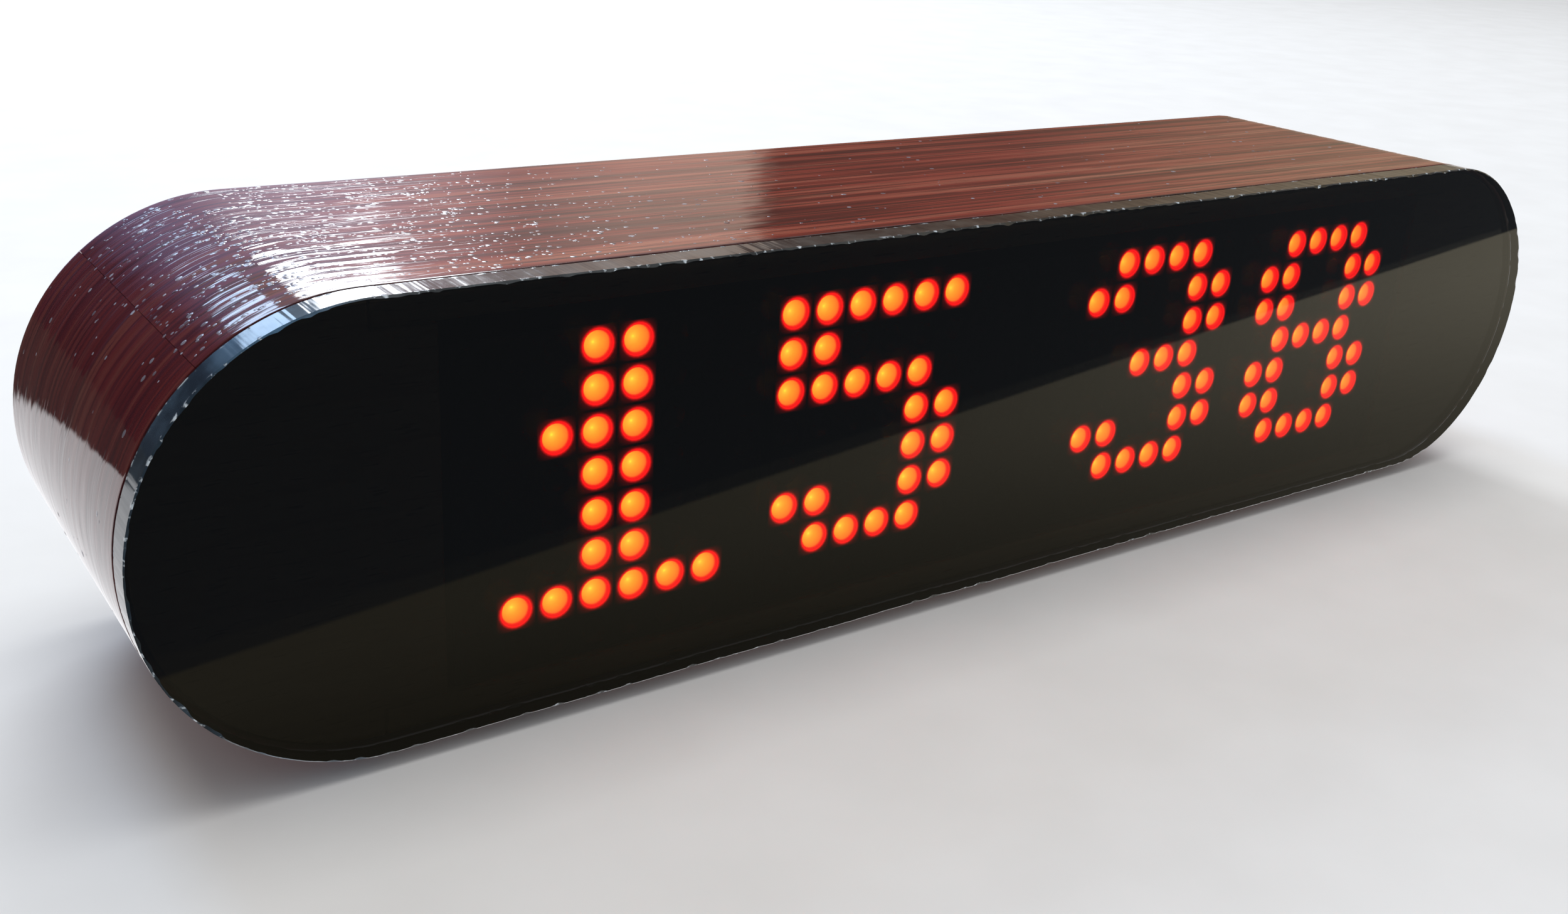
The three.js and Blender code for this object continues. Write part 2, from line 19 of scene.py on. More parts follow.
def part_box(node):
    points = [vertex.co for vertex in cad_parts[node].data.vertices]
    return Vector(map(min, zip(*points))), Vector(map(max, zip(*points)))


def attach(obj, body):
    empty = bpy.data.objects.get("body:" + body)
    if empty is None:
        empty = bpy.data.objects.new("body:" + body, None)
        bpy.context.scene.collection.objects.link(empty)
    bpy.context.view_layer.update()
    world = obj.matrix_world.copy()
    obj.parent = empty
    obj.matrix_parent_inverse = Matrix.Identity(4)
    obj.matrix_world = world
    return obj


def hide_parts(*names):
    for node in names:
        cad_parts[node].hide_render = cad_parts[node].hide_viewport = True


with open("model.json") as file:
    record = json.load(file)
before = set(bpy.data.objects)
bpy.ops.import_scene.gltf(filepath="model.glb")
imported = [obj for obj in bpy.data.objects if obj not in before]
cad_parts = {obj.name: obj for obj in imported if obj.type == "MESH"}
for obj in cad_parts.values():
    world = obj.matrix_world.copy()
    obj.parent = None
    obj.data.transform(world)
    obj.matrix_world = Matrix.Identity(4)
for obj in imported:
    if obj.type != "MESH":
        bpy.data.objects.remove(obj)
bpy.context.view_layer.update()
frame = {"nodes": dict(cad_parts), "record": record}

nodes = frame["nodes"]

# %% [markdown]
# The whole case follows one outline, two straight sides and two half circles, so its few sizes
# are measured once from the front panel, the veneer band and the cover. Everything is drawn in
# millimetres in a maker's head, so MM turns those into metres.

# %% Measure the case
MM = 0.001
CASE_BODY = "clock_body"


def centre_of(node):
    """The middle of a part's box."""
    low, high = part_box(node)
    return (low + high) / 2


panel_low, panel_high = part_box("front_panel")
band_low, band_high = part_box("veneer_wrap")
cover_inner_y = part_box("rear_cover")[0].y
mid_z = (panel_low.z + panel_high.z) / 2
outer_radius = (panel_high.z - panel_low.z) / 2
end_x = panel_high.x - outer_radius
straight_length = 2 * end_x
outline_length = 2 * straight_length + 2 * math.pi * outer_radius
print(f"case radius {outer_radius / MM:.1f} mm, outline {outline_length / MM:.0f} mm long")

# %% [markdown]
# Nodes, for geometry and for materials alike, are added by one helper: it makes a node, sets its
# options, and fills each input with a plain value or with a link from another node's output. The
# others name the few steps that every finish uses, so that a finish reads as a short recipe.

# %% Node helpers
def place(tree, kind, inputs=None, **options):
    """Add a node. An input given an output socket is linked, anything else is set as its value."""
    node = tree.nodes.new(kind)
    for label, value in options.items():
        setattr(node, label, value)
    for label, value in (inputs or {}).items():
        if isinstance(value, bpy.types.NodeSocket):
            tree.links.new(value, node.inputs[label])
        else:
            node.inputs[label].default_value = value
    return node


def own_place(tree):
    """A piece's own coordinates, which stay with it when it moves."""
    return place(tree, "ShaderNodeTexCoord").outputs["Object"]


def stored(tree, label):
    """A number that the mesh carries at each of its points."""
    return place(tree, "ShaderNodeAttribute", attribute_name=label).outputs["Fac"]


def noise_value(tree, where, scale, detail=2, **more):
    """Noise from 0 to 1. A larger scale gives a finer pattern."""
    settings = {"Vector": where, "Scale": scale, "Detail": detail, **more}
    return place(tree, "ShaderNodeTexNoise", settings).outputs["Fac"]


def maths(tree, operation, first, second=0.0, third=0.0, clamp=False):
    """One step of arithmetic on values."""
    values = {0: first, 1: second, 2: third}
    return place(tree, "ShaderNodeMath", values, operation=operation, use_clamp=clamp).outputs[0]


def spread(tree, value, low, high, to_low=0.0, to_high=1.0):
    """Stretch a value from one range to another, smoothly and without running past the ends."""
    settings = {
        "Value": value, "From Min": low, "From Max": high, "To Min": to_low, "To Max": to_high}
    return place(tree, "ShaderNodeMapRange", settings, interpolation_type="SMOOTHSTEP").outputs[0]


def blend_colours(tree, share, first, second, mode="MIX"):
    """Mix two colours, each a value or a link, by a share from 0 to 1."""
    inputs = {0: share, 6: first, 7: second}
    return place(tree, "ShaderNodeMix", inputs, data_type="RGBA", blend_type=mode).outputs[2]


def ramp(tree, value, stops):
    """A colour ramp through (place, (red, green, blue)) stops."""
    node = place(tree, "ShaderNodeValToRGB", {"Fac": value})
    while len(node.color_ramp.elements) < len(stops):
        node.color_ramp.elements.new(0.5)
    for element, (at, colour) in zip(node.color_ramp.elements, stops):
        element.position = at
        element.color = (*colour, 1)
    return node.outputs["Color"]


print("node helpers ready")

# %% [markdown]
# The camera stands a hand's breadth in front of the left end and a little above, turned to the
# right and tipped down, so the clock runs away from it. Its place is given here, since a camera
# isn't part of the design.

# %% Camera
CAMERA_PLACE = Vector((-0.11432, -0.13125, 0.07726))
CAMERA_TURN, CAMERA_TILT, CAMERA_ROLL = (math.radians(turn) for turn in (-36.40, -21.83, 3.59))

camera_data = bpy.data.cameras.new("camera")
camera_data.lens = 35.69
camera_data.sensor_width = 36
camera_data.clip_start = 0.01
camera = bpy.data.objects.new("camera", camera_data)
bpy.context.scene.collection.objects.link(camera)
aim = Matrix.Rotation(CAMERA_TURN, 4, "Z") @ Matrix.Rotation(math.radians(90) + CAMERA_TILT, 4, "X")
camera.matrix_world = Matrix.Translation(CAMERA_PLACE) @ aim @ Matrix.Rotation(CAMERA_ROLL, 4, "Z")
bpy.context.scene.camera = camera
bpy.context.scene.view_settings.view_transform = "Standard"
print(f"camera looks along {[round(x, 3) for x in -camera.matrix_world.col[2].xyz]}")

# %% [markdown]
# The room. A plain pale floor carries the clock. Polished surfaces also need something to mirror:
# what a gloss sees of the floor and the room is given apart from what the eye sees of them, with
# the Light Path node, as cards are set round a product in a studio, outside the view. The front
# mirrors a brown table as far as its edge and a dark room beyond, the left end a pale sheet.

# %% Floor
FLOOR_RADIUS = 6
TABLE_EDGE_X, TABLE_EDGE_Y, TABLE_EDGE_SLOPE = -85 * MM, -45 * MM, -0.18
SHEET_EDGE, SHEET_EDGE_SLOPE = -32 * MM, 1.2


def keep_shape(name, shape):
    """The finished shape as a mesh. The drawing it was made in is then freed."""
    mesh = bpy.data.meshes.new(name)
    shape.to_mesh(mesh)
    shape.free()
    return mesh


floor_shape = bmesh.new()
bmesh.ops.create_circle(floor_shape, cap_ends=True, segments=96, radius=FLOOR_RADIUS)
floor_mesh = keep_shape("floor", floor_shape)
floor = bpy.data.objects.new("floor", floor_mesh)
bpy.context.scene.collection.objects.link(floor)


def floor_finish():
    finish = bpy.data.materials.new("pale_floor")
    finish.use_nodes = True
    tree = finish.node_tree
    tree.nodes.clear()
    where = own_place(tree)
    mottle = noise_value(tree, where, 60, 5)
    paper = ramp(tree, mottle, [(0.3, (0.78, 0.775, 0.765)), (0.7, (0.82, 0.817, 0.81))])
    seen = place(tree, "ShaderNodeBsdfPrincipled", {"Base Color": paper, "Roughness": 0.75})
    apart = place(tree, "ShaderNodeSeparateXYZ", {0: where})
    x, y = apart.outputs["X"], apart.outputs["Y"]
    past_corner = maths(tree, "SUBTRACT", x, TABLE_EDGE_X)
    edge = maths(tree, "MULTIPLY_ADD", past_corner, TABLE_EDGE_SLOPE, TABLE_EDGE_Y)
    past_edge = maths(tree, "SUBTRACT", y, edge)
    on_table = spread(tree, past_edge, -0.6 * MM, 0.6 * MM)
    along = spread(tree, x, -90 * MM, 200 * MM)
    table = blend_colours(tree, along, (0.26, 0.235, 0.17, 1), (0.74, 0.68, 0.52, 1))
    depth = maths(tree, "DIVIDE", past_edge, maths(tree, "SUBTRACT", -20 * MM, edge))
    shade = spread(tree, depth, 0.1, 1.0, 0, 0.5)
    shaded = blend_colours(tree, shade, table, (0.02, 0.018, 0.014, 1))
    front = blend_colours(tree, on_table, (0.095, 0.105, 0.118, 1), shaded)
    past_sheet = maths(tree, "MULTIPLY_ADD", x, SHEET_EDGE_SLOPE, y)
    far = spread(tree, past_sheet, SHEET_EDGE - 4 * MM, SHEET_EDGE + 4 * MM)
    far = maths(tree, "MULTIPLY", far, spread(tree, x, -100 * MM, -95 * MM, 1, 0))
    sheet = blend_colours(tree, far, (1.15, 1.15, 1.18, 1), (0.05, 0.045, 0.045, 1))
    behind = spread(tree, y, -22 * MM, -18 * MM)
    colour = blend_colours(tree, behind, front, sheet)
    mirrored = place(tree, "ShaderNodeEmission", {"Color": colour})
    path = place(tree, "ShaderNodeLightPath")
    both = {0: path.outputs["Is Glossy Ray"], 1: seen.outputs[0], 2: mirrored.outputs[0]}
    mixed = place(tree, "ShaderNodeMixShader", both)
    place(tree, "ShaderNodeOutputMaterial", {"Surface": mixed.outputs[0]})
    return finish


floor_mesh.materials.append(floor_finish())
print(f"floor {2 * FLOOR_RADIUS} m across")

# %% [markdown]
# The light is a window behind and a little to the right of the clock: one bright pane, and one
# pane that shows only blue sky, with a big soft panel overhead to fill the shadows. Area lights
# give soft shadows and clean highlights. Each pane is given by the two ends of its lower edge, as
# compass turns and heights seen from the left shoulder, whose lacquer mirrors that edge.

# %% Lights
WINDOW_DISTANCE = 1.2
POWER_PER_RADIANCE = math.pi


def seen_from_shoulder(turn, rise):
    """The point at window distance in a direction: degrees from +Y towards +X, and degrees up."""
    a, b = math.radians(turn), math.radians(rise)
    way = Vector((math.sin(a) * math.cos(b), math.cos(a) * math.cos(b), math.sin(b)))
    return Vector((-end_x, 0, mid_z + outer_radius)) + WINDOW_DISTANCE * way


def soft_light(name, left, right, height, radiance, colour):
    """A rectangular lamp that stands on the edge from left to right and faces the clock."""
    across = (right - left).normalized()
    middle = (left + right) / 2
    away = middle - Vector((0, 0, mid_z))
    away = (away - across * away.dot(across)).normalized()
    side = away.cross(across)
    lamp_data = bpy.data.lights.new(name, "AREA")
    lamp_data.shape = "RECTANGLE"
    lamp_data.size = (right - left).length
    lamp_data.size_y = height
    lamp_data.energy = radiance * POWER_PER_RADIANCE * lamp_data.size * height
    lamp_data.color = colour
    lamp = bpy.data.objects.new(name, lamp_data)
    lamp.visible_camera = False
    bpy.context.scene.collection.objects.link(lamp)
    centre = middle + side * math.copysign(height / 2, side.z)
    turned_to = Matrix((across, side, away)).transposed().to_4x4()
    lamp.matrix_world = Matrix.Translation(centre) @ turned_to
    print(f"{name}: {lamp_data.size:.2f} x {height} m, {lamp_data.energy:.1f} W")
    return lamp


soft_light(
    "bright_pane", seen_from_shoulder(8, 21.5), seen_from_shoulder(21.2, 15.3),
    height=0.6, radiance=10.0, colour=(0.9, 0.95, 1))
soft_light(
    "sky_pane", seen_from_shoulder(-9, 22.5), seen_from_shoulder(3, 23.5),
    height=0.7, radiance=7.0, colour=(0.52, 0.72, 1))
overhead = soft_light(
    "overhead_panel", Vector((-0.7, 0.5, 1.6)), Vector((0.9, 0.5, 1.6)),
    height=1.2, radiance=2.4, colour=(1, 0.98, 0.95))
overhead.visible_glossy = False

# %% [markdown]
# The world gives the even light of a pale room, and to polished surfaces alone it shows that
# room's walls: a dark corner on the left, a warm wall, dark furniture and a tan wall to the
# right, below the window's sill. A colour ramp over the compass angle holds them.

# %% World
SILL_HEIGHT = math.radians(22)


def room_light():
    world = bpy.data.worlds.new("room")
    world.use_nodes = True
    tree = world.node_tree
    tree.nodes.clear()
    ray = place(tree, "ShaderNodeTexCoord").outputs["Generated"]
    apart = place(tree, "ShaderNodeSeparateXYZ", {0: ray})
    turn = maths(tree, "ARCTAN2", apart.outputs["X"], apart.outputs["Y"])
    rise = maths(tree, "ARCSINE", apart.outputs["Z"])
    span = place(tree, "ShaderNodeMapRange", {
        "Value": turn, "From Min": math.radians(-20), "From Max": math.radians(80)}).outputs[0]
    walls = ramp(tree, span, [
        (0.0, (0.02, 0.01, 0.02)),
        (0.08, (0.05, 0.04, 0.08)),
        (0.14, (0.22, 0.23, 0.44)),
        (0.20, (0.36, 0.37, 0.66)),
        (0.28, (0.48, 0.48, 0.74)),
        (0.39, (0.80, 0.76, 0.96)),
        (0.43, (0.80, 0.62, 0.66)),
        (0.46, (0.52, 0.40, 0.38)),
        (0.50, (0.74, 0.56, 0.48)),
        (0.543, (0.76, 0.58, 0.48)),
        (0.552, (0.13, 0.07, 0.055)),
        (0.64, (0.16, 0.09, 0.07)),
        (0.76, (0.38, 0.30, 0.21)),
        (1.0, (0.50, 0.44, 0.35)),
    ])
    above = spread(tree, rise, SILL_HEIGHT - 0.03, SILL_HEIGHT + 0.03)
    to_right = spread(tree, turn, math.radians(-18), math.radians(0))
    upper = blend_colours(tree, to_right, (0.06, 0.06, 0.09, 1), (0.42, 0.44, 0.48, 1))
    gloss = blend_colours(tree, above, walls, upper)
    path = place(tree, "ShaderNodeLightPath")
    height = spread(tree, rise, 0.2, 1.4)
    even = blend_colours(tree, height, (0.42, 0.42, 0.43, 1), (0.85, 0.86, 0.88, 1))
    shade = spread(tree, apart.outputs["X"], -0.9, 0.1, 0.35, 1.0)
    soft = blend_colours(tree, shade, (0, 0, 0, 1), even)
    seen = blend_colours(tree, path.outputs["Is Camera Ray"], soft, (0.86, 0.86, 0.855, 1))
    shown = blend_colours(tree, path.outputs["Is Glossy Ray"], seen, gloss)
    back = place(tree, "ShaderNodeBackground", {"Color": shown, "Strength": 1.0})
    place(tree, "ShaderNodeOutputWorld", {"Surface": back.outputs[0]})
    return world


bpy.context.scene.world = room_light()
print("room light set")

# %% [markdown]
# Effects that several finishes share are node groups with named inputs, built once: a slow drift
# of tone, a fine grain in the surface, and wear where edges are handled. The wear group compares
# the true surface direction with one that is rounded over a small radius, so it finds edges on
# any shape. Groups put out only numbers, and the shader stays in each material. A value that
# never changes is set on the shader's own socket, and one that does is fed to it.

# %% Shared effects
def new_group(name, inputs, outputs):
    """A shader node group. Its inputs are name: default, its outputs are names of values."""
    group = bpy.data.node_groups.new(name, "ShaderNodeTree")
    for label, default in inputs.items():
        socket = group.interface.new_socket(label, in_out="INPUT", socket_type="NodeSocketFloat")
        socket.default_value = default
    for label in outputs:
        group.interface.new_socket(label, in_out="OUTPUT", socket_type="NodeSocketFloat")
    return group, place(group, "NodeGroupInput").outputs, place(group, "NodeGroupOutput").inputs


def tone_drift_group():
    group, given, made = new_group("tone_drift", {"Scale": 80.0, "Amount": 0.3}, ["Tone"])
    cloud = noise_value(group, own_place(group), given["Scale"], 4)
    swing = maths(group, "SUBTRACT", cloud, 0.5)
    group.links.new(maths(group, "MULTIPLY_ADD", swing, given["Amount"], 1.0), made["Tone"])
    return group


def fine_grain_group():
    group, given, made = new_group("fine_grain", {"Scale": 2500.0, "Scratches": 0.0}, ["Height"])
    where = own_place(group)
    pits = noise_value(group, where, given["Scale"], 2)
    drawn = {"Vector": where, "Rotation": (0.3, 0.5, 0.2), "Scale": (1, 1, 30)}
    hair = noise_value(group, place(group, "ShaderNodeMapping", drawn).outputs[0], 90, 3)
    line = spread(group, hair, 0.66, 0.70)
    cut = maths(group, "MULTIPLY", line, given["Scratches"])
    group.links.new(maths(group, "SUBTRACT", pits, cut), made["Height"])
    return group


def edge_wear_group():
    group, given, made = new_group("edge_wear", {"Width": 0.3 * MM, "Breakup": 900.0}, ["Mask"])
    rounded = place(group, "ShaderNodeBevel", {"Radius": given["Width"]}, samples=4).outputs[0]
    true = place(group, "ShaderNodeNewGeometry").outputs["Normal"]
    same = place(group, "ShaderNodeVectorMath", {0: rounded, 1: true}, operation="DOT_PRODUCT")
    edge = spread(group, same.outputs["Value"], 0.995, 0.90)
    patchy = noise_value(group, own_place(group), given["Breakup"], 3)
    kept = spread(group, patchy, 0.42, 0.62)
    group.links.new(maths(group, "MULTIPLY", edge, kept), made["Mask"])
    return group


SHARED = {"tone": tone_drift_group(), "grain": fine_grain_group(), "wear": edge_wear_group()}


def shared(tree, effect, **settings):
    """Place a shared effect in a material and return its one output."""
    node = place(tree, "ShaderNodeGroup", node_tree=SHARED[effect])
    for label, value in settings.items():
        node.inputs[label.title()].default_value = value
    return node.outputs[0]


def new_finish(name, **plain):
    """A material with one Principled shader, whose unchanging values are set on its own sockets."""
    finish = bpy.data.materials.new(name)
    finish.use_nodes = True
    tree = finish.node_tree
    tree.nodes.clear()
    values = {
        label.replace("_", " ").title().replace("Ior", "IOR"): value
        for label, value in plain.items()}
    shader = place(tree, "ShaderNodeBsdfPrincipled", values)
    place(tree, "ShaderNodeOutputMaterial", {"Surface": shader.outputs["BSDF"]})
    return finish, tree, shader


def feed(shader, label, value):
    """Let a value that changes over the surface drive one of the shader's inputs."""
    shader.id_data.links.new(value, shader.inputs[label])


def bump(tree, shader, height, depth):
    """Feed a height, as a share of depth in metres, to the shader's normal."""
    node = place(tree, "ShaderNodeBump", {"Height": height, "Distance": depth, "Strength": 1.0})
    feed(shader, "Normal", node.outputs[0])


print("shared effects:", ", ".join(group.name for group in SHARED.values()))

# %% [markdown]
# Plain small parts fall into a few families: moulded plastic, metal, rubber and wire cover. One
# function makes the moulded and rubbery ones. Each has drifting tone, a fine surface grain and
# paler handled edges, with its own colour and gloss.

# %% Moulded finishes
def moulded(name, colour, roughness, grain, depth, worn, scratches=0.0):
    """Grain is the fineness of the surface and depth its height. worn lightens the edges."""
    finish, tree, shader = new_finish(name, specular_ior_level=0.5)
    tone = shared(tree, "tone", scale=120, amount=0.5)
    wear = shared(tree, "wear")
    base = blend_colours(tree, 1.0, (*colour, 1), tone, "MULTIPLY")
    pale = tuple(min(1, part * worn + 0.01) for part in colour)
    feed(shader, "Base Color", blend_colours(tree, wear, base, (*pale, 1)))
    rough = maths(tree, "MULTIPLY", tone, roughness)
    feed(shader, "Roughness", maths(tree, "MULTIPLY_ADD", wear, 0.1, rough))
    bump(tree, shader, shared(tree, "grain", scale=grain, scratches=scratches), depth)
    return finish


MOULDED = {
    "cover_acrylic": ("cover_acrylic", (0.018, 0.018, 0.020), 0.24, 900, 0.002 * MM, 2.2, 0.8),
    "rubber": ("foot_rubber", (0.026, 0.026, 0.027), 0.78, 1800, 0.02 * MM, 1.5),
    "nylon": ("natural_nylon", (0.74, 0.71, 0.62), 0.45, 1200, 0.006 * MM, 1.05),
    "chip_plastic": ("chip_plastic", (0.025, 0.025, 0.027), 0.55, 3000, 0.006 * MM, 1.4),
    "capacitor_sleeve": ("capacitor_sleeve", (0.02, 0.045, 0.14), 0.35, 700, 0.004 * MM, 1.4),
    "switch_plastic": ("switch_plastic", (0.06, 0.06, 0.064), 0.5, 2200, 0.006 * MM, 1.4),
    "button_plastic": ("button_plastic", (0.032, 0.032, 0.034), 0.38, 2600, 0.008 * MM, 2.4),
    "red_lead": ("red_lead_cover", (0.42, 0.022, 0.015), 0.45, 1500, 0.004 * MM, 1.2),
    "black_lead": ("black_lead_cover", (0.018, 0.018, 0.02), 0.45, 1500, 0.004 * MM, 1.4),
    "grey_ribbon": ("grey_ribbon_cover", (0.36, 0.36, 0.38), 0.5, 1400, 0.008 * MM, 1.2),
}
FINISHES = {slot: moulded(*look) for slot, look in MOULDED.items()}
print(f"{len(FINISHES)} moulded finishes")

# %% [markdown]
# Metals are zinc-plated steel screws, nickel plate and brass. Plating is never even: a noise
# moves its tint and its gloss, and stretched noise gives the turning marks.

# %% Metal finishes
TURNING_MARKS = 2600


def metal(name, colour, dull_colour, roughness):
    finish, tree, shader = new_finish(name, metallic=1.0)
    where = own_place(tree)
    cloud = noise_value(tree, where, 700, 4)
    wear = shared(tree, "wear", width=0.2 * MM)
    tint = ramp(tree, cloud, [(0.35, dull_colour), (0.62, colour)])
    feed(shader, "Base Color", blend_colours(tree, wear, tint, (0.86, 0.86, 0.85, 1)))
    rough = spread(tree, cloud, 0.3, 0.7, roughness * 1.4, roughness * 0.8)
    feed(shader, "Roughness", rough)
    across = place(tree, "ShaderNodeMapping", {"Vector": where, "Scale": (1, 0.08, 1)})
    bump(tree, shader, noise_value(tree, across.outputs[0], TURNING_MARKS), 0.003 * MM)
    return finish


FINISHES["steel"] = metal("plated_steel", (0.62, 0.63, 0.65), (0.42, 0.43, 0.46), 0.26)
FINISHES["nickel"] = metal("nickel_plate", (0.74, 0.72, 0.68), (0.55, 0.52, 0.47), 0.18)
FINISHES["brass"] = metal("turned_brass", (0.78, 0.58, 0.27), (0.55, 0.37, 0.15), 0.24)
print("steel, nickel and brass ready")

# %% [markdown]
# The circuit boards wear green solder resist over copper. A brick pattern stands for the traces
# that run under it, and cells with a threshold for the plated holes.

# %% Circuit board finish
def circuit_board():
    finish, tree, shader = new_finish("circuit_board", specular_ior_level=0.5)
    upright = {"Vector": own_place(tree), "Rotation": (math.radians(90), 0, 0)}
    flat = place(tree, "ShaderNodeMapping", upright).outputs[0]
    traces = place(tree, "ShaderNodeTexBrick", {
        "Vector": flat, "Scale": 1.0, "Mortar Size": 0.25 * MM, "Mortar Smooth": 0.2,
        "Brick Width": 7 * MM, "Row Height": 1.27 * MM}).outputs["Fac"]
    holes = place(tree, "ShaderNodeTexVoronoi", {"Vector": flat, "Scale": 390, "Randomness": 0.35})
    plated = spread(tree, holes.outputs["Distance"], 0.17, 0.13)
    resist = blend_colours(tree, traces, (0.010, 0.085, 0.030, 1), (0.030, 0.19, 0.070, 1))
    feed(shader, "Base Color", blend_colours(tree, plated, resist, (0.62, 0.58, 0.42, 1)))
    feed(shader, "Metallic", plated)
    feed(shader, "Roughness", spread(tree, traces, 0, 1, 0.34, 0.26))
    bump(tree, shader, traces, 0.03 * MM)
    return finish


FINISHES["circuit_board"] = circuit_board()
print("circuit board ready")

# %% [markdown]
# Bare core wood shows as a thin rim at the rear. Its grain runs along the clock: long rings from
# stretched noise, with fine dark pores, and a satin surface.

# %% Core wood finish
def core_wood():
    finish, tree, shader = new_finish("core_wood", specular_ior_level=0.3)
    along_x = {"Vector": own_place(tree), "Scale": (0.12, 1, 1)}
    stretched = place(tree, "ShaderNodeMapping", along_x).outputs[0]
    rings = noise_value(tree, stretched, 420, 5, Distortion=0.6)
    pores = noise_value(tree, stretched, 2600, 2)
    pale = ramp(tree, rings, [
        (0.3, (0.46, 0.27, 0.13)), (0.5, (0.62, 0.42, 0.23)), (0.72, (0.70, 0.51, 0.31))])
    dark = spread(tree, pores, 0.60, 0.72)
    dirt = shared(tree, "wear", width=0.4 * MM, breakup=500)
    grained = blend_colours(tree, dark, pale, (0.30, 0.17, 0.08, 1))
    feed(shader, "Base Color", blend_colours(tree, dirt, grained, (0.33, 0.20, 0.10, 1)))
    feed(shader, "Roughness", spread(tree, rings, 0.3, 0.7, 0.62, 0.5))
    bump(tree, shader, pores, 0.03 * MM)
    return finish


FINISHES["core_wood"] = core_wood()
print("core wood ready")

# %% [markdown]
# The veneer is the star. It is one strip of striped wood, so its pattern reads two attributes
# that the band carries: how far along the strip a point is and how far across. Noise stretched
# far along the strip gives brown stripes on red-brown, a finer noise the thin dark lines between
# them, and painted shade makes the wood plain and dark over the left end, on both sides of the
# joint. The lacquer is the plain gloss of the shader at an index of 1.52. It has shrunk a little
# into the open pores, so a fine relief that follows the grain, with rounder dimples, breaks up
# what it mirrors. The larger relief is in the mesh. Dust nibs in the lacquer have a paler finish
# of their own, blue-grey: partly dust and partly a painted glint of the sky that they mirror.

# %% Veneer finish
def strip_place(tree, stretch):
    """The strip's own coordinates, in metres, with the length divided by stretch."""
    short = maths(tree, "DIVIDE", stored(tree, "along"), stretch)
    return place(tree, "ShaderNodeCombineXYZ", {"X": short, "Y": stored(tree, "across")}).outputs[0]


def striped_veneer():
    finish, tree, shader = new_finish("striped_veneer", ior=1.52, specular_ior_level=0.5)

    def noise_on_strip(stretch, scale, detail=2, **more):
        return noise_value(tree, strip_place(tree, stretch), scale, detail, **more)

    stripes = noise_on_strip(45, 560, 3, Roughness=0.55, Distortion=0.2)
    broad = noise_on_strip(14, 130)
    level = maths(
        tree, "ADD", maths(tree, "MULTIPLY", stripes, 0.72), maths(tree, "MULTIPLY", broad, 0.28))
    wood = ramp(tree, level, [
        (0.36, (0.045, 0.010, 0.010)),
        (0.44, (0.125, 0.019, 0.014)),
        (0.50, (0.215, 0.034, 0.024)),
        (0.56, (0.275, 0.066, 0.043)),
        (0.66, (0.330, 0.120, 0.078)),
    ])
    lines = spread(tree, noise_on_strip(100, 1500), 0.51, 0.61, 0, 0.78)
    lined = blend_colours(tree, lines, wood, (0.030, 0.012, 0.010, 1))
    pores = spread(tree, noise_on_strip(28, 2800), 0.57, 0.69, 0, 0.8)
    pored = blend_colours(tree, pores, lined, (0.014, 0.006, 0.006, 1))
    along = stored(tree, "along")
    # Painted shade: the wood is made plain and dark over the left end, on both sides of the joint.
    after_joint = spread(tree, along, 42 * MM, 70 * MM, 0.75, 0)
    before_joint = spread(tree, along, outline_length - 26 * MM, outline_length, 0, 0.75)
    painted_left_end_shade = maths(tree, "MAXIMUM", after_joint, before_joint)
    feed(shader, "Base Color", blend_colours(tree, painted_left_end_shade, pored, (0.052, 0.011, 0.014, 1)))
    feed(shader, "Roughness", spread(tree, noise_on_strip(3, 90, 3), 0.35, 0.7, 0.025, 0.075))
    ridges = maths(tree, "MULTIPLY", noise_on_strip(16, 1000), 0.30)
    dimples = maths(tree, "MULTIPLY", noise_on_strip(1.6, 420, 1), 0.55)
    sunk = maths(tree, "MULTIPLY", pores, -0.12)
    height = maths(tree, "ADD", maths(tree, "ADD", ridges, dimples), sunk)
    bump(tree, shader, height, 0.05 * MM)
    return finish


def lacquer_nib():
    finish, tree, shader = new_finish("lacquer_nib", ior=1.52, specular_ior_level=0.5)
    dust_and_glint = noise_value(tree, strip_place(tree, 4), 1500)
    # Partly dust, partly painted glint: the pale blue-grey stands for the sky that the nibs mirror.
    pale = ramp(tree, dust_and_glint, [(0.38, (0.060, 0.030, 0.034)), (0.62, (0.30, 0.31, 0.37))])
    feed(shader, "Base Color", pale)
    feed(shader, "Roughness", spread(tree, dust_and_glint, 0.3, 0.7, 0.08, 0.16))
    bump(tree, shader, dust_and_glint, 0.004 * MM)
    return finish


FINISHES["veneer"] = striped_veneer()
LACQUER_NIB = lacquer_nib()
print("veneer ready")

# %% [markdown]
# The front is cast acrylic with a dark smoke tint. Its polished faces are real glass-like
# transmission, so the dots behind are bent and dimmed as they should be. Its sawn edge is a
# different surface on the same sheet: grey, with saw marks, and a painted reflection in its
# colour, bluer round the left bend for the sky and browner to the right for a warm wall. Its
# bright chips are partly real and partly a painted highlight along the arrises. Seen through the
# sheet it is painted nearly black, as painted shade, and Backfacing tells the outside from the
# inside.

# %% Acrylic finishes
def polished_acrylic():
    finish, tree, shader = new_finish("polished_smoked_acrylic", ior=1.49, transmission_weight=1.0)
    where = own_place(tree)
    cloud = noise_value(tree, where, 45, 3)
    smoke = ramp(tree, cloud, [(0.3, (0.118, 0.125, 0.135)), (0.7, (0.128, 0.133, 0.142))])
    feed(shader, "Base Color", smoke)
    smear = noise_value(tree, where, 160, 5)
    feed(shader, "Roughness", spread(tree, smear, 0.4, 0.75, 0.006, 0.022))
    bump(tree, shader, cloud, 0.004 * MM)
    return finish


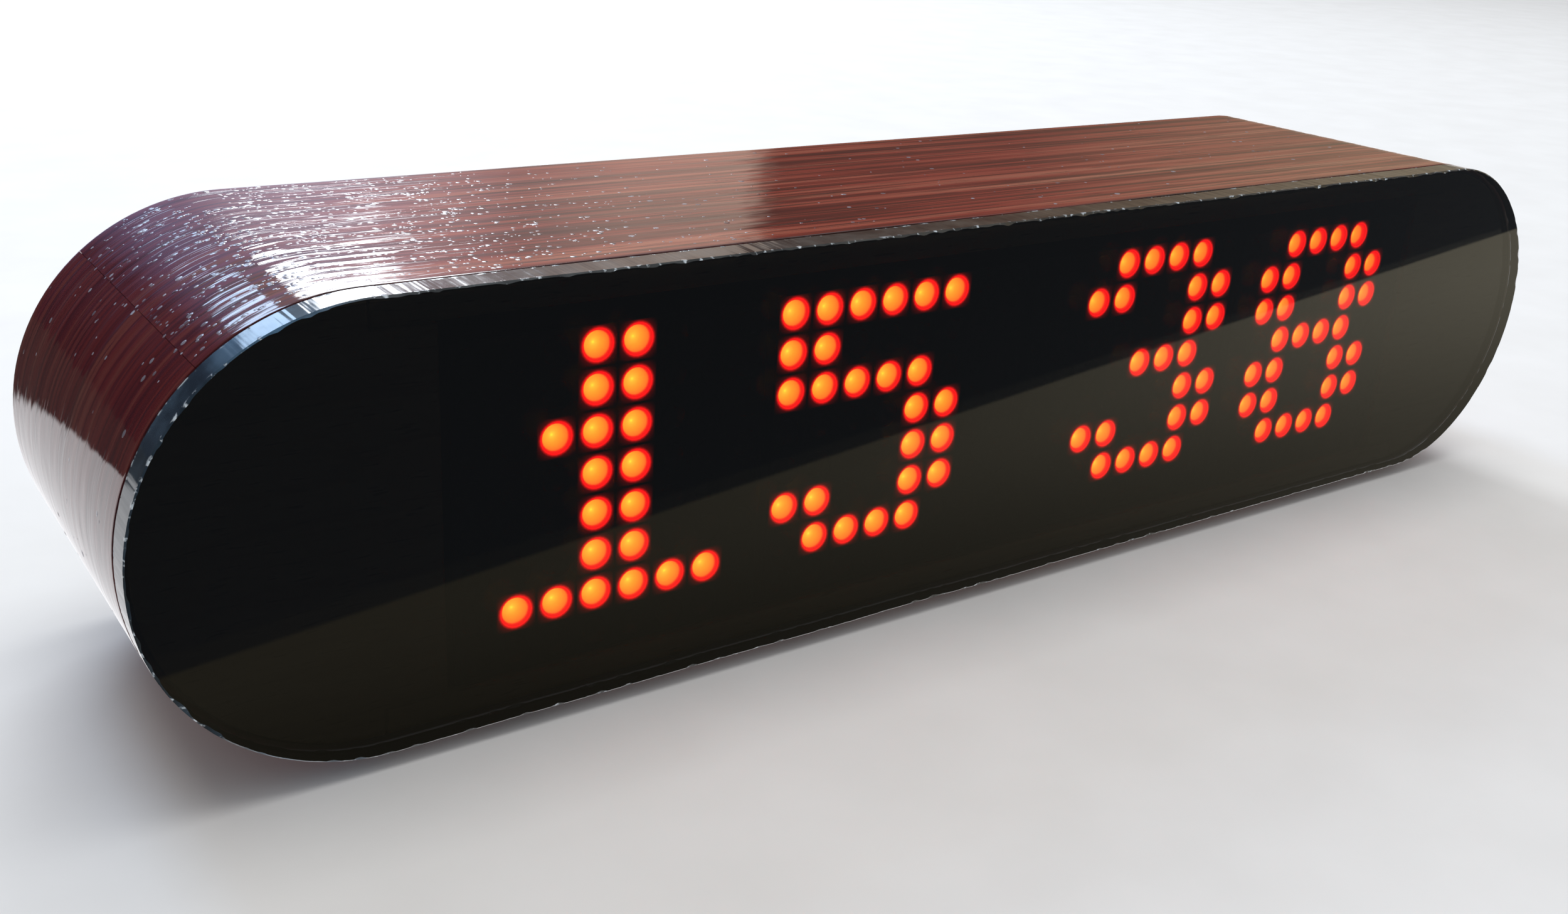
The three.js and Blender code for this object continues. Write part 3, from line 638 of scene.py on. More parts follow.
def sawn_acrylic():
    finish, tree, shader = new_finish("sawn_smoked_acrylic", ior=1.49, specular_ior_level=0.5)
    where = own_place(tree)
    saw = maths(tree, "MULTIPLY", stored(tree, "along"), 900)
    marks = place(
        tree, "ShaderNodeTexNoise", {"W": saw, "Scale": 1.0, "Detail": 2}, noise_dimensions="1D")
    cloud = noise_value(tree, where, 260, 4)
    side = place(tree, "ShaderNodeSeparateXYZ", {0: where}).outputs["X"]
    from_left = {"Value": side, "From Min": panel_low.x, "From Max": 0}
    to_middle = place(tree, "ShaderNodeMapRange", from_left).outputs[0]
    # Painted reflection: the edge's colour is bluer round the left bend for the sky and browner to
    # the right for a warm wall.
    painted_sky_and_wall_reflection = ramp(tree, to_middle, [
        (0.0, (0.022, 0.032, 0.042)),
        (0.08, (0.026, 0.044, 0.064)),
        (0.14, (0.055, 0.115, 0.185)),
        (0.22, (0.046, 0.052, 0.056)),
        (0.50, (0.046, 0.050, 0.050)),
        (1.0, (0.036, 0.032, 0.024)),
    ])
    clouded = spread(tree, cloud, 0.3, 0.7, 0.55, 1.6)
    grey = blend_colours(tree, 1.0, painted_sky_and_wall_reflection, clouded, "MULTIPLY")
    chips = noise_value(tree, where, 1300, 3)
    near_rim = spread(tree, stored(tree, "rim"), 0.70, 1.0)
    # Bright chips at the arrises: partly real chipped acrylic, partly a painted highlight.
    chips_and_painted_highlight = maths(tree, "MULTIPLY", spread(tree, chips, 0.56, 0.66), near_rim)
    outside = blend_colours(tree, chips_and_painted_highlight, grey, (0.62, 0.70, 0.76, 1))
    # Painted shade: seen from inside the sheet, the edge is painted nearly black.
    from_inside = place(tree, "ShaderNodeNewGeometry").outputs["Backfacing"]
    seen = blend_colours(tree, from_inside, outside, (0.004, 0.005, 0.006, 1))
    feed(shader, "Base Color", seen)
    feed(shader, "Roughness", spread(tree, cloud, 0.3, 0.7, 0.07, 0.16))
    bump(tree, shader, maths(tree, "ADD", marks.outputs["Fac"], chips_and_painted_highlight), 0.04 * MM)
    return finish


FINISHES["smoked_acrylic"] = polished_acrylic()
SAWN_EDGE = sawn_acrylic()
print("acrylic ready")

# %% [markdown]
# A lit dot is a small reflector cup that glows: the chip at the bottom is yellow-white, the wall
# orange, and the lip deep red. The cups carry a glow attribute, 1 on the floor's middle and 0 at
# the lip, so a colour ramp on it gives the gradient, and real depth moves the bright spot as the
# eye moves. The glow is painted redder to the right, standing in for the way dots fade when seen
# at a slant. Unlit cups are the same shape in dark red epoxy. The black face round each lit dot
# is given a painted red glow, as the light it would catch from the dot.

# %% Dot finishes
def lit_dot():
    finish, tree, shader = new_finish("lit_dot", roughness=0.4, emission_strength=8.0)
    glow = stored(tree, "glow")
    where = own_place(tree)
    speck = noise_value(tree, where, 900, 2)
    to_right = place(tree, "ShaderNodeSeparateXYZ", {0: where}).outputs["X"]
    # Painted: the glow turns redder to the right, for dots seen at a slant.
    painted_slant_fade = spread(tree, to_right, -30 * MM, 60 * MM, 0.0, -0.13)
    level = maths(tree, "ADD", glow, maths(tree, "MULTIPLY_ADD", speck, 0.06, -0.03))
    level = maths(tree, "ADD", level, painted_slant_fade)
    light = ramp(tree, level, [
        (0.0, (1.0, 0.006, 0.006)),
        (0.12, (1.0, 0.018, 0.009)),
        (0.21, (1.0, 0.17, 0.018)),
        (0.48, (1.0, 0.29, 0.022)),
        (0.62, (1.0, 0.35, 0.026)),
        (0.80, (1.0, 0.46, 0.034)),
        (0.93, (1.0, 0.62, 0.045)),
        (1.0, (1.0, 0.95, 0.060)),
    ])
    feed(shader, "Emission Color", light)
    feed(shader, "Base Color", light)
    finish.cycles.emission_sampling = "NONE"
    return finish


def dark_dot():
    finish, tree, shader = new_finish("unlit_dot", roughness=0.35)
    glow = stored(tree, "glow")
    tint = ramp(tree, glow, [(0.0, (0.020, 0.006, 0.006)), (1.0, (0.05, 0.016, 0.014))])
    feed(shader, "Base Color", tint)
    bump(tree, shader, shared(tree, "grain", scale=1500), 0.004 * MM)
    return finish


def module_face():
    finish, tree, shader = new_finish("module_face", roughness=0.5, emission_strength=11.0)
    # Painted glow: the black face round each lit dot is given red emission, as the light it would
    # catch.
    painted_glow = stored(tree, "painted_glow")
    tone = shared(tree, "tone", scale=300, amount=0.4)
    black = blend_colours(tree, 1.0, (0.012, 0.011, 0.011, 1), tone, "MULTIPLY")
    feed(shader, "Base Color", black)
    near = maths(tree, "POWER", painted_glow, 3.0)
    glow = ramp(tree, near, [(0.0, (0, 0, 0)), (1.0, (1.0, 0.006, 0.006))])
    feed(shader, "Emission Color", glow)
    bump(tree, shader, shared(tree, "grain", scale=2400), 0.006 * MM)
    finish.cycles.emission_sampling = "NONE"
    return finish


FINISHES["led_light"] = lit_dot()
FINISHES["led_dark"] = dark_dot()
FINISHES["module_epoxy"] = module_face()
print("dot finishes ready")

# %% [markdown]
# Every carried-over part takes the finish of its slot in the design's own material list. The
# list of parts per slot is read from the design, so nothing is named twice.

# %% Finish the carried-over parts
slot_of = {part["node"]: part["material_slot"] for part in frame["record"]["subparts"]}
for node_name, node in nodes.items():
    finish = FINISHES[slot_of[node_name]]
    for material_slot in node.material_slots:
        material_slot.material = finish
print(f"{len(nodes)} parts finished from {len(set(slot_of.values()))} slots")

# %% [markdown]
# New pieces are plain meshes at the origin. A few helpers cover most of them: an object from a
# mesh, a skin through rings of points, and a turned shape about an axis along Y or laid another
# way. A ring of one point is a pole, so every skin ends closed, and its faces are then turned to
# point outwards.

# %% Mesh helpers
def new_piece(name, mesh, finishes=()):
    """An object for a mesh, at the origin, with its finishes."""
    piece = bpy.data.objects.new(name, mesh)
    bpy.context.scene.collection.objects.link(piece)
    for finish in finishes:
        mesh.materials.append(finish)
    return piece


def fit(piece, body, slot, *replaced):
    """Let a piece ride on its body and stand for the CAD parts that it replaces. slot is not used.
    """
    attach(piece, body)
    if replaced:
        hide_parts(*replaced)
    count = sum(len(face.vertices) - 2 for face in piece.data.polygons)
    print(f"{piece.name}: {count} triangles, stands for {len(replaced)} CAD parts")
    return piece


def smooth(mesh, sharp_degrees=35):
    """Smooth shading, kept sharp where faces meet at more than an angle."""
    mesh.polygons.foreach_set("use_smooth", [True] * len(mesh.polygons))
    mesh.set_sharp_from_angle(angle=math.radians(sharp_degrees))


def skin(name, rings, looped=False, flat_ends=False):
    """A closed mesh through rings of equal size. looped joins the last ring to the first."""
    shape = bmesh.new()
    made = [[shape.verts.new(point) for point in ring] for ring in rings]
    pairs = list(zip(made, made[1:]))
    if looped:
        pairs.append((made[-1], made[0]))
    for lower, upper in pairs:
        for i in range(max(len(lower), len(upper))):
            here, there = ([ring[k % len(ring)] for k in (i, i + 1)] for ring in (lower, upper))
            shape.faces.new(dict.fromkeys([*here, *reversed(there)]))
    if flat_ends:
        shape.faces.new(reversed(made[0]))
        shape.faces.new(made[-1])
    bmesh.ops.recalc_face_normals(shape, faces=shape.faces)
    mesh = keep_shape(name, shape)
    smooth(mesh)
    return mesh


def circle(radius, y, steps, x=0.0, z=0.0):
    """Points round an axis along Y. A radius of 0 is a single point."""
    if radius == 0:
        return [Vector((x, y, z))]
    turns = [2 * math.pi * i / steps for i in range(steps)]
    return [Vector((x + radius * math.cos(turn), y, z + radius * math.sin(turn))) for turn in turns]


def turned(name, profile, steps, x=0.0, z=0.0):
    """A turned shape from (radius, y) points."""
    return skin(name, [circle(radius, y, steps, x, z) for radius, y in profile])


def laid(name, profile, steps, turn_point):
    """A turned shape whose axis is laid another way by turn_point."""
    rings = [[turn_point(point) for point in circle(radius, y, steps)] for radius, y in profile]
    return skin(name, rings)


def fillet(radius, corner_radius, corner_y, start, end, steps=4):
    """Profile points on a quarter round, centred corner_radius from the axis."""
    points = []
    for i in range(steps + 1):
        turn = math.radians(start + (end - start) * i / steps)
        points.append((corner_radius + radius * math.cos(turn), corner_y + radius * math.sin(turn)))
    return points


print("mesh helpers ready")

# %% [markdown]
# Geometry Nodes repeat and sweep. A tree is built with named inputs, a modifier runs it on a
# guide object with each input set by its identifier, and the result is copied into a plain mesh.
# The guide is then removed, so no modifier is left on any piece. Every tree ends by turning its
# copies into real faces, because an export drops copies that exist only by reference.

# %% Geometry Nodes helpers
SOCKETS = {"size": "NodeSocketFloat", "count": "NodeSocketInt", "object": "NodeSocketObject",
           "finish": "NodeSocketMaterial"}


def new_tree(name, **inputs):
    """A geometry tree. Each input is given as name=kind, and keeps that name as its label."""
    tree = bpy.data.node_groups.new(name, "GeometryNodeTree")
    tree.interface.new_socket("Geometry", in_out="INPUT", socket_type="NodeSocketGeometry")
    for label, kind in inputs.items():
        tree.interface.new_socket(label, in_out="INPUT", socket_type=SOCKETS[kind])
    tree.interface.new_socket("Geometry", in_out="OUTPUT", socket_type="NodeSocketGeometry")
    return tree, place(tree, "NodeGroupInput").outputs, place(tree, "NodeGroupOutput").inputs[0]


def keep_value(tree, geometry, name, value):
    """Store a number on each point, under a name."""
    inputs = {"Geometry": geometry, "Name": name, "Value": value}
    node = place(
        tree, "GeometryNodeStoreNamedAttribute", inputs, data_type="FLOAT", domain="POINT")
    return node.outputs[0]


def kept_value(tree, name, kind="FLOAT"):
    """Read back what each point holds under a name."""
    return place(tree, "GeometryNodeInputNamedAttribute", {"Name": name}, data_type=kind).outputs[0]


def end_tree(tree, geometry, finish, made):
    """Every tree ends alike: copies become real faces, and all of them take one finish."""
    whole = place(tree, "GeometryNodeRealizeInstances", {"Geometry": geometry}).outputs[0]
    finished = place(tree, "GeometryNodeSetMaterial", {"Geometry": whole, "Material": finish})
    tree.links.new(finished.outputs[0], made)
    return tree


def outline(name, points, closed=False):
    """A guide: points joined by edges."""
    edges = [(i, i + 1) for i in range(len(points) - 1)]
    if closed:
        edges.append((len(points) - 1, 0))
    mesh = bpy.data.meshes.new(name)
    mesh.from_pydata(points, edges, [])
    return new_piece(name, mesh)


def scatter(name, points):
    """A guide: loose points."""
    mesh = bpy.data.meshes.new(name)
    mesh.from_pydata(points, [], [])
    return new_piece(name, mesh)


def grow(name, guide, tree, used_guides=(), **settings):
    """Run a tree on a guide and keep the result as a plain piece."""
    modifier = guide.modifiers.new(tree.name, "NODES")
    modifier.node_group = tree
    for item in tree.interface.items_tree:
        if item.in_out == "INPUT" and item.name in settings:
            modifier[item.identifier] = settings[item.name]
    depsgraph = bpy.context.evaluated_depsgraph_get()
    mesh = bpy.data.meshes.new_from_object(guide.evaluated_get(depsgraph))
    mesh.name = name
    guide.modifiers.remove(modifier)
    for used in (guide, *used_guides):
        bpy.data.objects.remove(used)
    return new_piece(name, mesh)


print("tree helpers ready")

# %% [markdown]
# The veneer band. On the bench it is one strip, 0.7 mm thick, glued round the core, and its two
# ends meet over the left end in a fine joint. The tree does the same: it sweeps the strip's
# section along an open outline that starts and ends at the joint, stores each point's place along
# and across the strip for the wood pattern, and lifts the lacquered outside in soft ridges that
# follow the grain, because brushed lacquer never dries flat.

# %% Veneer band tree
def wrapped_strip():
    tree, given, made = new_tree(
        "wrapped_strip", Section="object", Step="size", Ridge_Height="size", Ridge_Width="size",
        Ridge_Stretch="size", Thickness="size", Finish="finish")
    path = place(tree, "GeometryNodeMeshToCurve", {0: given["Geometry"]}).outputs[0]
    spacing = {"Curve": path, "Length": given["Step"]}
    even = place(tree, "GeometryNodeResampleCurve", spacing, mode="LENGTH").outputs[0]
    level = {"Curve": even, "Normal": (0, 1, 0)}
    upright = place(tree, "GeometryNodeSetCurveNormal", level, mode="FREE").outputs[0]
    length = place(tree, "GeometryNodeSplineParameter").outputs["Length"]
    marked = keep_value(tree, upright, "along", length)
    section = place(tree, "GeometryNodeObjectInfo", {"Object": given["Section"]})
    section_curve = place(
        tree, "GeometryNodeMeshToCurve", {0: section.outputs["Geometry"]}).outputs[0]
    in_section = place(tree, "GeometryNodeInputPosition").outputs[0]
    apart = place(tree, "ShaderNodeSeparateXYZ", {0: in_section})
    wide = keep_value(tree, section_curve, "across", apart.outputs["X"])
    deep = keep_value(tree, wide, "depth", apart.outputs["Y"])
    strip = place(tree, "GeometryNodeCurveToMesh", {
        "Curve": marked, "Profile Curve": deep, "Fill Caps": True}).outputs[0]
    short = maths(tree, "DIVIDE", kept_value(tree, "along"), given["Ridge_Stretch"])
    pattern = place(tree, "ShaderNodeCombineXYZ", {
        "X": maths(tree, "DIVIDE", short, given["Ridge_Width"]),
        "Y": maths(tree, "DIVIDE", kept_value(tree, "across"), given["Ridge_Width"])}).outputs[0]
    below = maths(tree, "SUBTRACT", noise_value(tree, pattern, 1.0), 0.75)
    skin_depth = maths(tree, "MULTIPLY", given["Thickness"], 0.1)
    outside = maths(tree, "LESS_THAN", kept_value(tree, "depth"), skin_depth)
    lift = maths(tree, "MULTIPLY", maths(tree, "MULTIPLY", below, given["Ridge_Height"]), outside)
    normal = place(tree, "GeometryNodeInputNormal").outputs[0]
    offset = place(tree, "ShaderNodeVectorMath", {0: normal, "Scale": lift}, operation="SCALE")
    lacquered = place(tree, "GeometryNodeSetPosition", {
        "Geometry": strip, "Offset": offset.outputs[0]}).outputs[0]
    shaded = place(tree, "GeometryNodeSetShadeSmooth", {"Geometry": lacquered}).outputs[0]
    return end_tree(tree, shaded, given["Finish"], made)


STRIP_TREE = wrapped_strip()
print(f"{STRIP_TREE.name} has {len(STRIP_TREE.nodes)} nodes")

# %% [markdown]
# The outline is measured off as a distance along the case, which also serves the front's edge:
# straight over the top, round the left end, back under the bottom and up round the right end.

# %% Case outline
def on_outline(distance, radius):
    """A point and its outward direction, at a distance along the outline from the top right."""
    arc = math.pi * outer_radius
    distance %= outline_length
    if distance < straight_length:
        return Vector((end_x - distance, 0, mid_z + radius)), Vector((0, 0, 1))
    if distance < straight_length + arc:
        turn = math.pi / 2 + (distance - straight_length) / outer_radius
        side = -1
    elif distance < 2 * straight_length + arc:
        x = -end_x + distance - straight_length - arc
        return Vector((x, 0, mid_z - radius)), Vector((0, 0, -1))
    else:
        turn = -math.pi / 2 + (distance - 2 * straight_length - arc) / outer_radius
        side = 1
    outward = Vector((math.cos(turn), 0, math.sin(turn)))
    return Vector((side * end_x, 0, mid_z)) + radius * outward, outward


JOINT_ANGLE = math.radians(40)
JOINT_GAP = 0.02 * MM
joint_place = straight_length + JOINT_ANGLE * outer_radius
print(f"the strip's ends meet {joint_place / MM:.1f} mm along the outline")

# %% [markdown]
# The strip's section is drawn flat: across the case, and down from the lacquered face. Its rear
# edge is rounded by sanding. Its front edge is left nearly sharp and lies against the panel, so
# no light from the modules gets out between wood and panel. The path has many more points than
# the strip needs, and the tree spaces them evenly.

# %% Veneer band
STRIP_THICKNESS = 0.7 * MM
REAR_EDGE, FRONT_EDGE = 0.18 * MM, 0.05 * MM
STRIP_ROWS, BACK_ROWS = 116, 12
STRIP_STEP = 0.95 * MM


def strip_section():
    """The strip's outline, X across and Y down from the lacquered face, with eased edges."""
    low, high = band_low.y, band_high.y
    start, end = low + FRONT_EDGE, high - REAR_EDGE
    points = [(start + (end - start) * i / STRIP_ROWS, 0) for i in range(STRIP_ROWS + 1)]
    for turn in (30, 60, 90):
        a = math.radians(turn)
        points.append((high - REAR_EDGE * (1 - math.sin(a)), REAR_EDGE * (1 - math.cos(a))))
    points += [(high, STRIP_THICKNESS)]
    points += [(high + (low - high) * i / BACK_ROWS, STRIP_THICKNESS) for i in range(1, BACK_ROWS)]
    points += [(low, STRIP_THICKNESS)]
    for turn in (90, 60, 30):
        a = math.radians(turn)
        points.append((low + FRONT_EDGE * (1 - math.sin(a)), FRONT_EDGE * (1 - math.cos(a))))
    return [(x, y, 0) for x, y in points]


path_steps = 900
path_length = outline_length - JOINT_GAP
path_points = [
    on_outline(joint_place + JOINT_GAP / 2 + path_length * i / path_steps, outer_radius)[0]
    for i in range(path_steps + 1)
]
section_guide = outline("strip_section", strip_section(), closed=True)
veneer_band = grow(
    "veneer_band", outline("strip_path", path_points), STRIP_TREE, [section_guide],
    Section=section_guide, Step=STRIP_STEP, Ridge_Height=0.05 * MM, Ridge_Width=1.4 * MM,
    Ridge_Stretch=18.0, Thickness=STRIP_THICKNESS, Finish=FINISHES["veneer"])
smooth(veneer_band.data, 35)
fit(veneer_band, CASE_BODY, "veneer", "veneer_wrap")

# %% [markdown]
# Dust nibs. Lacquer that dries in a workshop keeps hundreds of tiny low mounds, drawn out a
# little along the grain, most of them over the left shoulder, where it was brushed last. Each
# mirrors the window at its own angle, so they sparkle. They are one low dome, set on points that
# carry their own direction and size, and they keep the strip's coordinates for their finish.

# %% Lacquer nib tree
def nibs_on_points():
    tree, given, made = new_tree("nibs_on_points", Part="object", Finish="finish")
    part = place(tree, "GeometryNodeObjectInfo", {"Object": given["Part"]})
    facing = place(
        tree, "FunctionNodeAlignRotationToVector",
        {"Vector": kept_value(tree, "outward", "FLOAT_VECTOR")}, axis="Z", pivot_axis="Y")
    spots = place(tree, "GeometryNodeInstanceOnPoints", {
        "Points": given["Geometry"], "Instance": part.outputs["Geometry"],
        "Rotation": facing.outputs[0], "Scale": kept_value(tree, "size", "FLOAT_VECTOR")})
    return end_tree(tree, spots.outputs[0], given["Finish"], made)


NIB_TREE = nibs_on_points()
print(f"{NIB_TREE.name} has {len(NIB_TREE.nodes)} nodes")

# %% [markdown]
# Where a nib lies is left to seeded dice, so it falls the same way on each run: a throw is kept
# only as often as nibs are likely there, and slow noise draws them out into rows along the grain.
# Their slopes are low, under twenty degrees, because a steep mound mirrors the dark room instead
# of the window.

# %% Lacquer nibs
NIB_COUNT = 1900
NIB_STEPS = 8
NIB_DOME = [(0, -1.1), (1.4, -0.96), (1.05, -0.10), (0.70, 0.51), (0.35, 0.88), (0, 1)]
shoulder_place = straight_length + 3 * MM


def nib_share(distance, y):
    """How likely a nib is at a place, 0 to 1: thick at the shoulder, thinning both ways."""
    past = distance - shoulder_place
    reach = 26 * MM if past < 0 else 8 * MM
    thinning = math.exp(-(past / reach) ** 2) + 0.022
    rows = noise.noise(Vector((distance / (5 * MM), y / (0.9 * MM), 5.0)))
    return thinning * max(0, 0.45 + 1.6 * rows)


def nib_points():
    dice = random.Random(12)
    low, high = band_low.y + 0.8 * MM, band_high.y - 0.5 * MM
    points, facts = [], {"along": [], "across": [], "outward": [], "size": []}
    while len(points) < NIB_COUNT:
        distance = dice.uniform(0, straight_length + math.pi * outer_radius)
        y = dice.uniform(low, high)
        if dice.random() > nib_share(distance, y):
            continue
        big = dice.random() ** 3
        length, width = (0.11 + 0.22 * big) * MM, (0.10 + 0.17 * big) * MM
        point, outward = on_outline(distance, outer_radius - 0.012 * MM)
        points.append((point.x, y, point.z))
        facts["along"].append((distance - joint_place) % outline_length)
        facts["across"].append(y)
        facts["outward"].extend(outward)
        facts["size"].extend((length, width, width * dice.uniform(0.06, 0.15)))
    return points, facts


nib_places, nib_facts = nib_points()
nib_guide = scatter("nib_guide", nib_places)
for label, values in nib_facts.items():
    vector = label in ("outward", "size")
    fact = nib_guide.data.attributes.new(label, "FLOAT_VECTOR" if vector else "FLOAT", "POINT")
    fact.data.foreach_set("vector" if vector else "value", values)
dome = laid("nib", NIB_DOME, NIB_STEPS, lambda point: Vector((point.x, point.z, point.y)))
dome.polygons.foreach_set("use_smooth", [True] * len(dome.polygons))
nib_part = new_piece("nib_pattern", dome)
nibs = grow("lacquer_nibs", nib_guide, NIB_TREE, [nib_part], Part=nib_part, Finish=LACQUER_NIB)
fit(nibs, CASE_BODY, "veneer")

# %% [markdown]
# The front panel was cut by hand with a fine saw and its faces were left polished. A plate with
# an outline of a thousand points lets the sawn edge wander a little and carry the saw's ridges,
# and the thin arrises are broken by small chips. The two polished faces stay flat. A film of
# glue, drawn as a thin gap, keeps the panel off the wood behind it.

# %% Front panel
EDGE_STEPS = 1200
EDGE_EASE = 0.12 * MM
GLUE_LINE = 0.01 * MM
EDGE_ROWS = 7


def wander(distance, seed, width, amount):
    """A smooth random value along the outline that meets itself at the end."""
    turn = 2 * math.pi * distance / outline_length
    radius = outline_length / (2 * math.pi * width)
    return amount * noise.noise(Vector((radius * math.cos(turn), radius * math.sin(turn), seed)))


def sawn_plate():
    front_y, rear_y = panel_low.y, panel_high.y - GLUE_LINE
    start, end = front_y + EDGE_EASE, rear_y - EDGE_EASE
    rows = [(front_y, EDGE_EASE)]
    rows += [(start + (end - start) * i / EDGE_ROWS, 0) for i in range(EDGE_ROWS + 1)]
    rows += [(rear_y, EDGE_EASE)]
    rings, marks = [], []
    for row, (y, ease) in enumerate(rows):
        ring = []
        for i in range(EDGE_STEPS):
            distance = outline_length * i / EDGE_STEPS
            inward = ease * (1 + max(0, wander(distance, 3.0 + row, 1.3 * MM, 3.2)))
            inward += 0.05 * MM + wander(distance, 7.0, 16 * MM, 0.10 * MM)
            inward += wander(distance + 0.25 * (y - front_y), 11.0, 0.5 * MM, 0.02 * MM)
            point, outward = on_outline(distance, outer_radius - inward)
            ring.append(Vector((point.x, y, point.z)))
            middle = abs((y - front_y) / (rear_y - front_y) - 0.5) * 2
            marks.append((distance, middle))
        rings.append(ring)
    mesh = skin("front_plate", rings, flat_ends=True)
    along = mesh.attributes.new("along", "FLOAT", "POINT")
    rim = mesh.attributes.new("rim", "FLOAT", "POINT")
    along.data.foreach_set("value", [mark[0] for mark in marks])
    rim.data.foreach_set("value", [mark[1] for mark in marks])
    for face in mesh.polygons:
        polished = len(face.vertices) > 4
        face.material_index = 0 if polished else 1
        face.use_smooth = not polished
    mesh.set_sharp_from_angle(angle=math.radians(12))
    return mesh


front_plate = new_piece("front_plate", sawn_plate(), [FINISHES["smoked_acrylic"], SAWN_EDGE])
fit(front_plate, CASE_BODY, "smoked_acrylic", "front_panel")

# %% [markdown]
# The display is four modules of eight by eight dots. The digits are drawn as rows of marks, as on
# squared paper, each with the column that it starts in, because the digits stand at different
# places on their modules.

# %% Dot pattern
DIGITS = {
    "led_module_1": (1, ["..##..", "..##..", ".###..", "..##..", "..##..", "..##..", "######"]),
    "led_module_2": (0, ["######", "##....", "#####.", "....##", "....##", "##..##", ".####."]),
    "led_module_3": (2, [".####.", "##..##", "....##", "..###.", "....##", "##..##", ".####."]),
    "led_module_4": (1, [".####.", "##..##", "##..##", ".####.", "##..##", "##..##", ".####."]),
}
CELLS = 8
DOT_PITCH = 4 * MM
DOT_RADIUS = 1.5 * MM


def is_lit(module, column, row):
    start, rows = DIGITS[module]
    marks = "." * start + rows[row] if row < len(rows) else ""
    return marks[column:column + 1] == "#"


def module_cells(module):
    """Each cell's centre and whether it is lit, from the top left."""
    middle = centre_of(module)
    cells = []
    for row in range(CELLS):
        for column in range(CELLS):
            x = middle.x + (column - (CELLS - 1) / 2) * DOT_PITCH
            z = middle.z - (row - (CELLS - 1) / 2) * DOT_PITCH
            cells.append((x, z, is_lit(module, column, row)))
    return cells


lit_count = sum(lit for module in DIGITS for _, _, lit in module_cells(module))
print(f"{lit_count} of {len(DIGITS) * CELLS ** 2} dots are lit")

# %% [markdown]
# Each module is a black epoxy block, 32 mm square, with round wells in its face. The face is
# drawn cell by cell: a well, a ring that carries the painted glow round a lit dot, and the
# square round it.
# Neighbouring cells share their edges, and the outer edge is pulled back to form the sides.

# %% Dot modules
WELL_STEPS = 24
WELL_DEPTH = 2.3 * MM
PAINTED_GLOW_RING = 1.8 * MM
MODULE_DEPTH = 8 * MM
MODULE_EASE = 0.15 * MM


def module_block(module):
    low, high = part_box(module)
    middle = centre_of(module)
    half = (high.x - low.x) / 2
    shape = bmesh.new()
    # The face round a lit dot carries a share of painted red glow, strongest at the well's lip.
    painted_glow = shape.verts.layers.float.new("painted_glow")
    corner = DOT_PITCH / 2
    square = [(1, 0), (1, 1), (0, 1), (-1, 1), (-1, 0), (-1, -1), (0, -1), (1, -1)]
    well = ((PAINTED_GLOW_RING, low.y, 0.35), (DOT_RADIUS, low.y, 1.0), (DOT_RADIUS, low.y + WELL_DEPTH, 0))
    for x, z, lit in module_cells(module):
        rings = []
        for radius, y, share in well:
            ring = [shape.verts.new(point) for point in circle(radius, y, WELL_STEPS, x, z)]
            for vertex in ring:
                vertex[painted_glow] = share * lit
            rings.append(ring)
        for outer, inner in zip(rings, rings[1:]):
            for i in range(WELL_STEPS):
                j = (i + 1) % WELL_STEPS
                shape.faces.new((outer[i], outer[j], inner[j], inner[i]))
        shape.faces.new(rings[-1])
        limit = half - MODULE_EASE
        rim = []
        for across, up in square:
            edge_x = max(-limit, min(limit, x + across * corner - middle.x))
            edge_z = max(-limit, min(limit, z + up * corner - middle.z))
            rim.append(shape.verts.new((middle.x + edge_x, low.y, middle.z + edge_z)))
        share = WELL_STEPS // len(square)
        for i in range(len(square)):
            j = (i + 1) % len(square)
            arc = [rings[0][(i * share + k) % WELL_STEPS] for k in range(share + 1)]
            shape.faces.new([rim[i], rim[j], *reversed(arc)])
    bmesh.ops.remove_doubles(shape, verts=shape.verts, dist=0.01 * MM)
    edges = [edge for edge in shape.edges if edge.is_boundary]
    grown = (1 + MODULE_EASE / (half - MODULE_EASE), 1, 1 + MODULE_EASE / (half - MODULE_EASE))
    for y, scale in ((MODULE_EASE, grown), (MODULE_DEPTH - MODULE_EASE, (1, 1, 1))):
        pulled = bmesh.ops.extrude_edge_only(shape, edges=edges)["geom"]
        moved = [item for item in pulled if isinstance(item, bmesh.types.BMVert)]
        edges = [
            item for item in pulled if isinstance(item, bmesh.types.BMEdge) and item.is_boundary]
        bmesh.ops.scale(shape, vec=scale, space=Matrix.Translation(-middle), verts=moved)
        bmesh.ops.translate(shape, vec=(0, y, 0), verts=moved)
        for vertex in moved:
            vertex[painted_glow] = 0
    bmesh.ops.contextual_create(shape, geom=edges)
    bmesh.ops.recalc_face_normals(shape, faces=shape.faces)
    return keep_shape(module, shape)


for number, module in enumerate(DIGITS, 1):
    block = new_piece(f"dot_module_{number}", module_block(module), [FINISHES["module_epoxy"]])
    fit(block, CASE_BODY, "module_epoxy", module)

# %% [markdown]
# A reflector cup sits in each well. The cup is grown once from two cones, an inner one flipped to
# face the eye and an outer one closed at the back, and Geometry Nodes set it on every dot. It
# stores its glow on the way: 0 at the lip, rising down the wall to 1 in the middle of the floor.

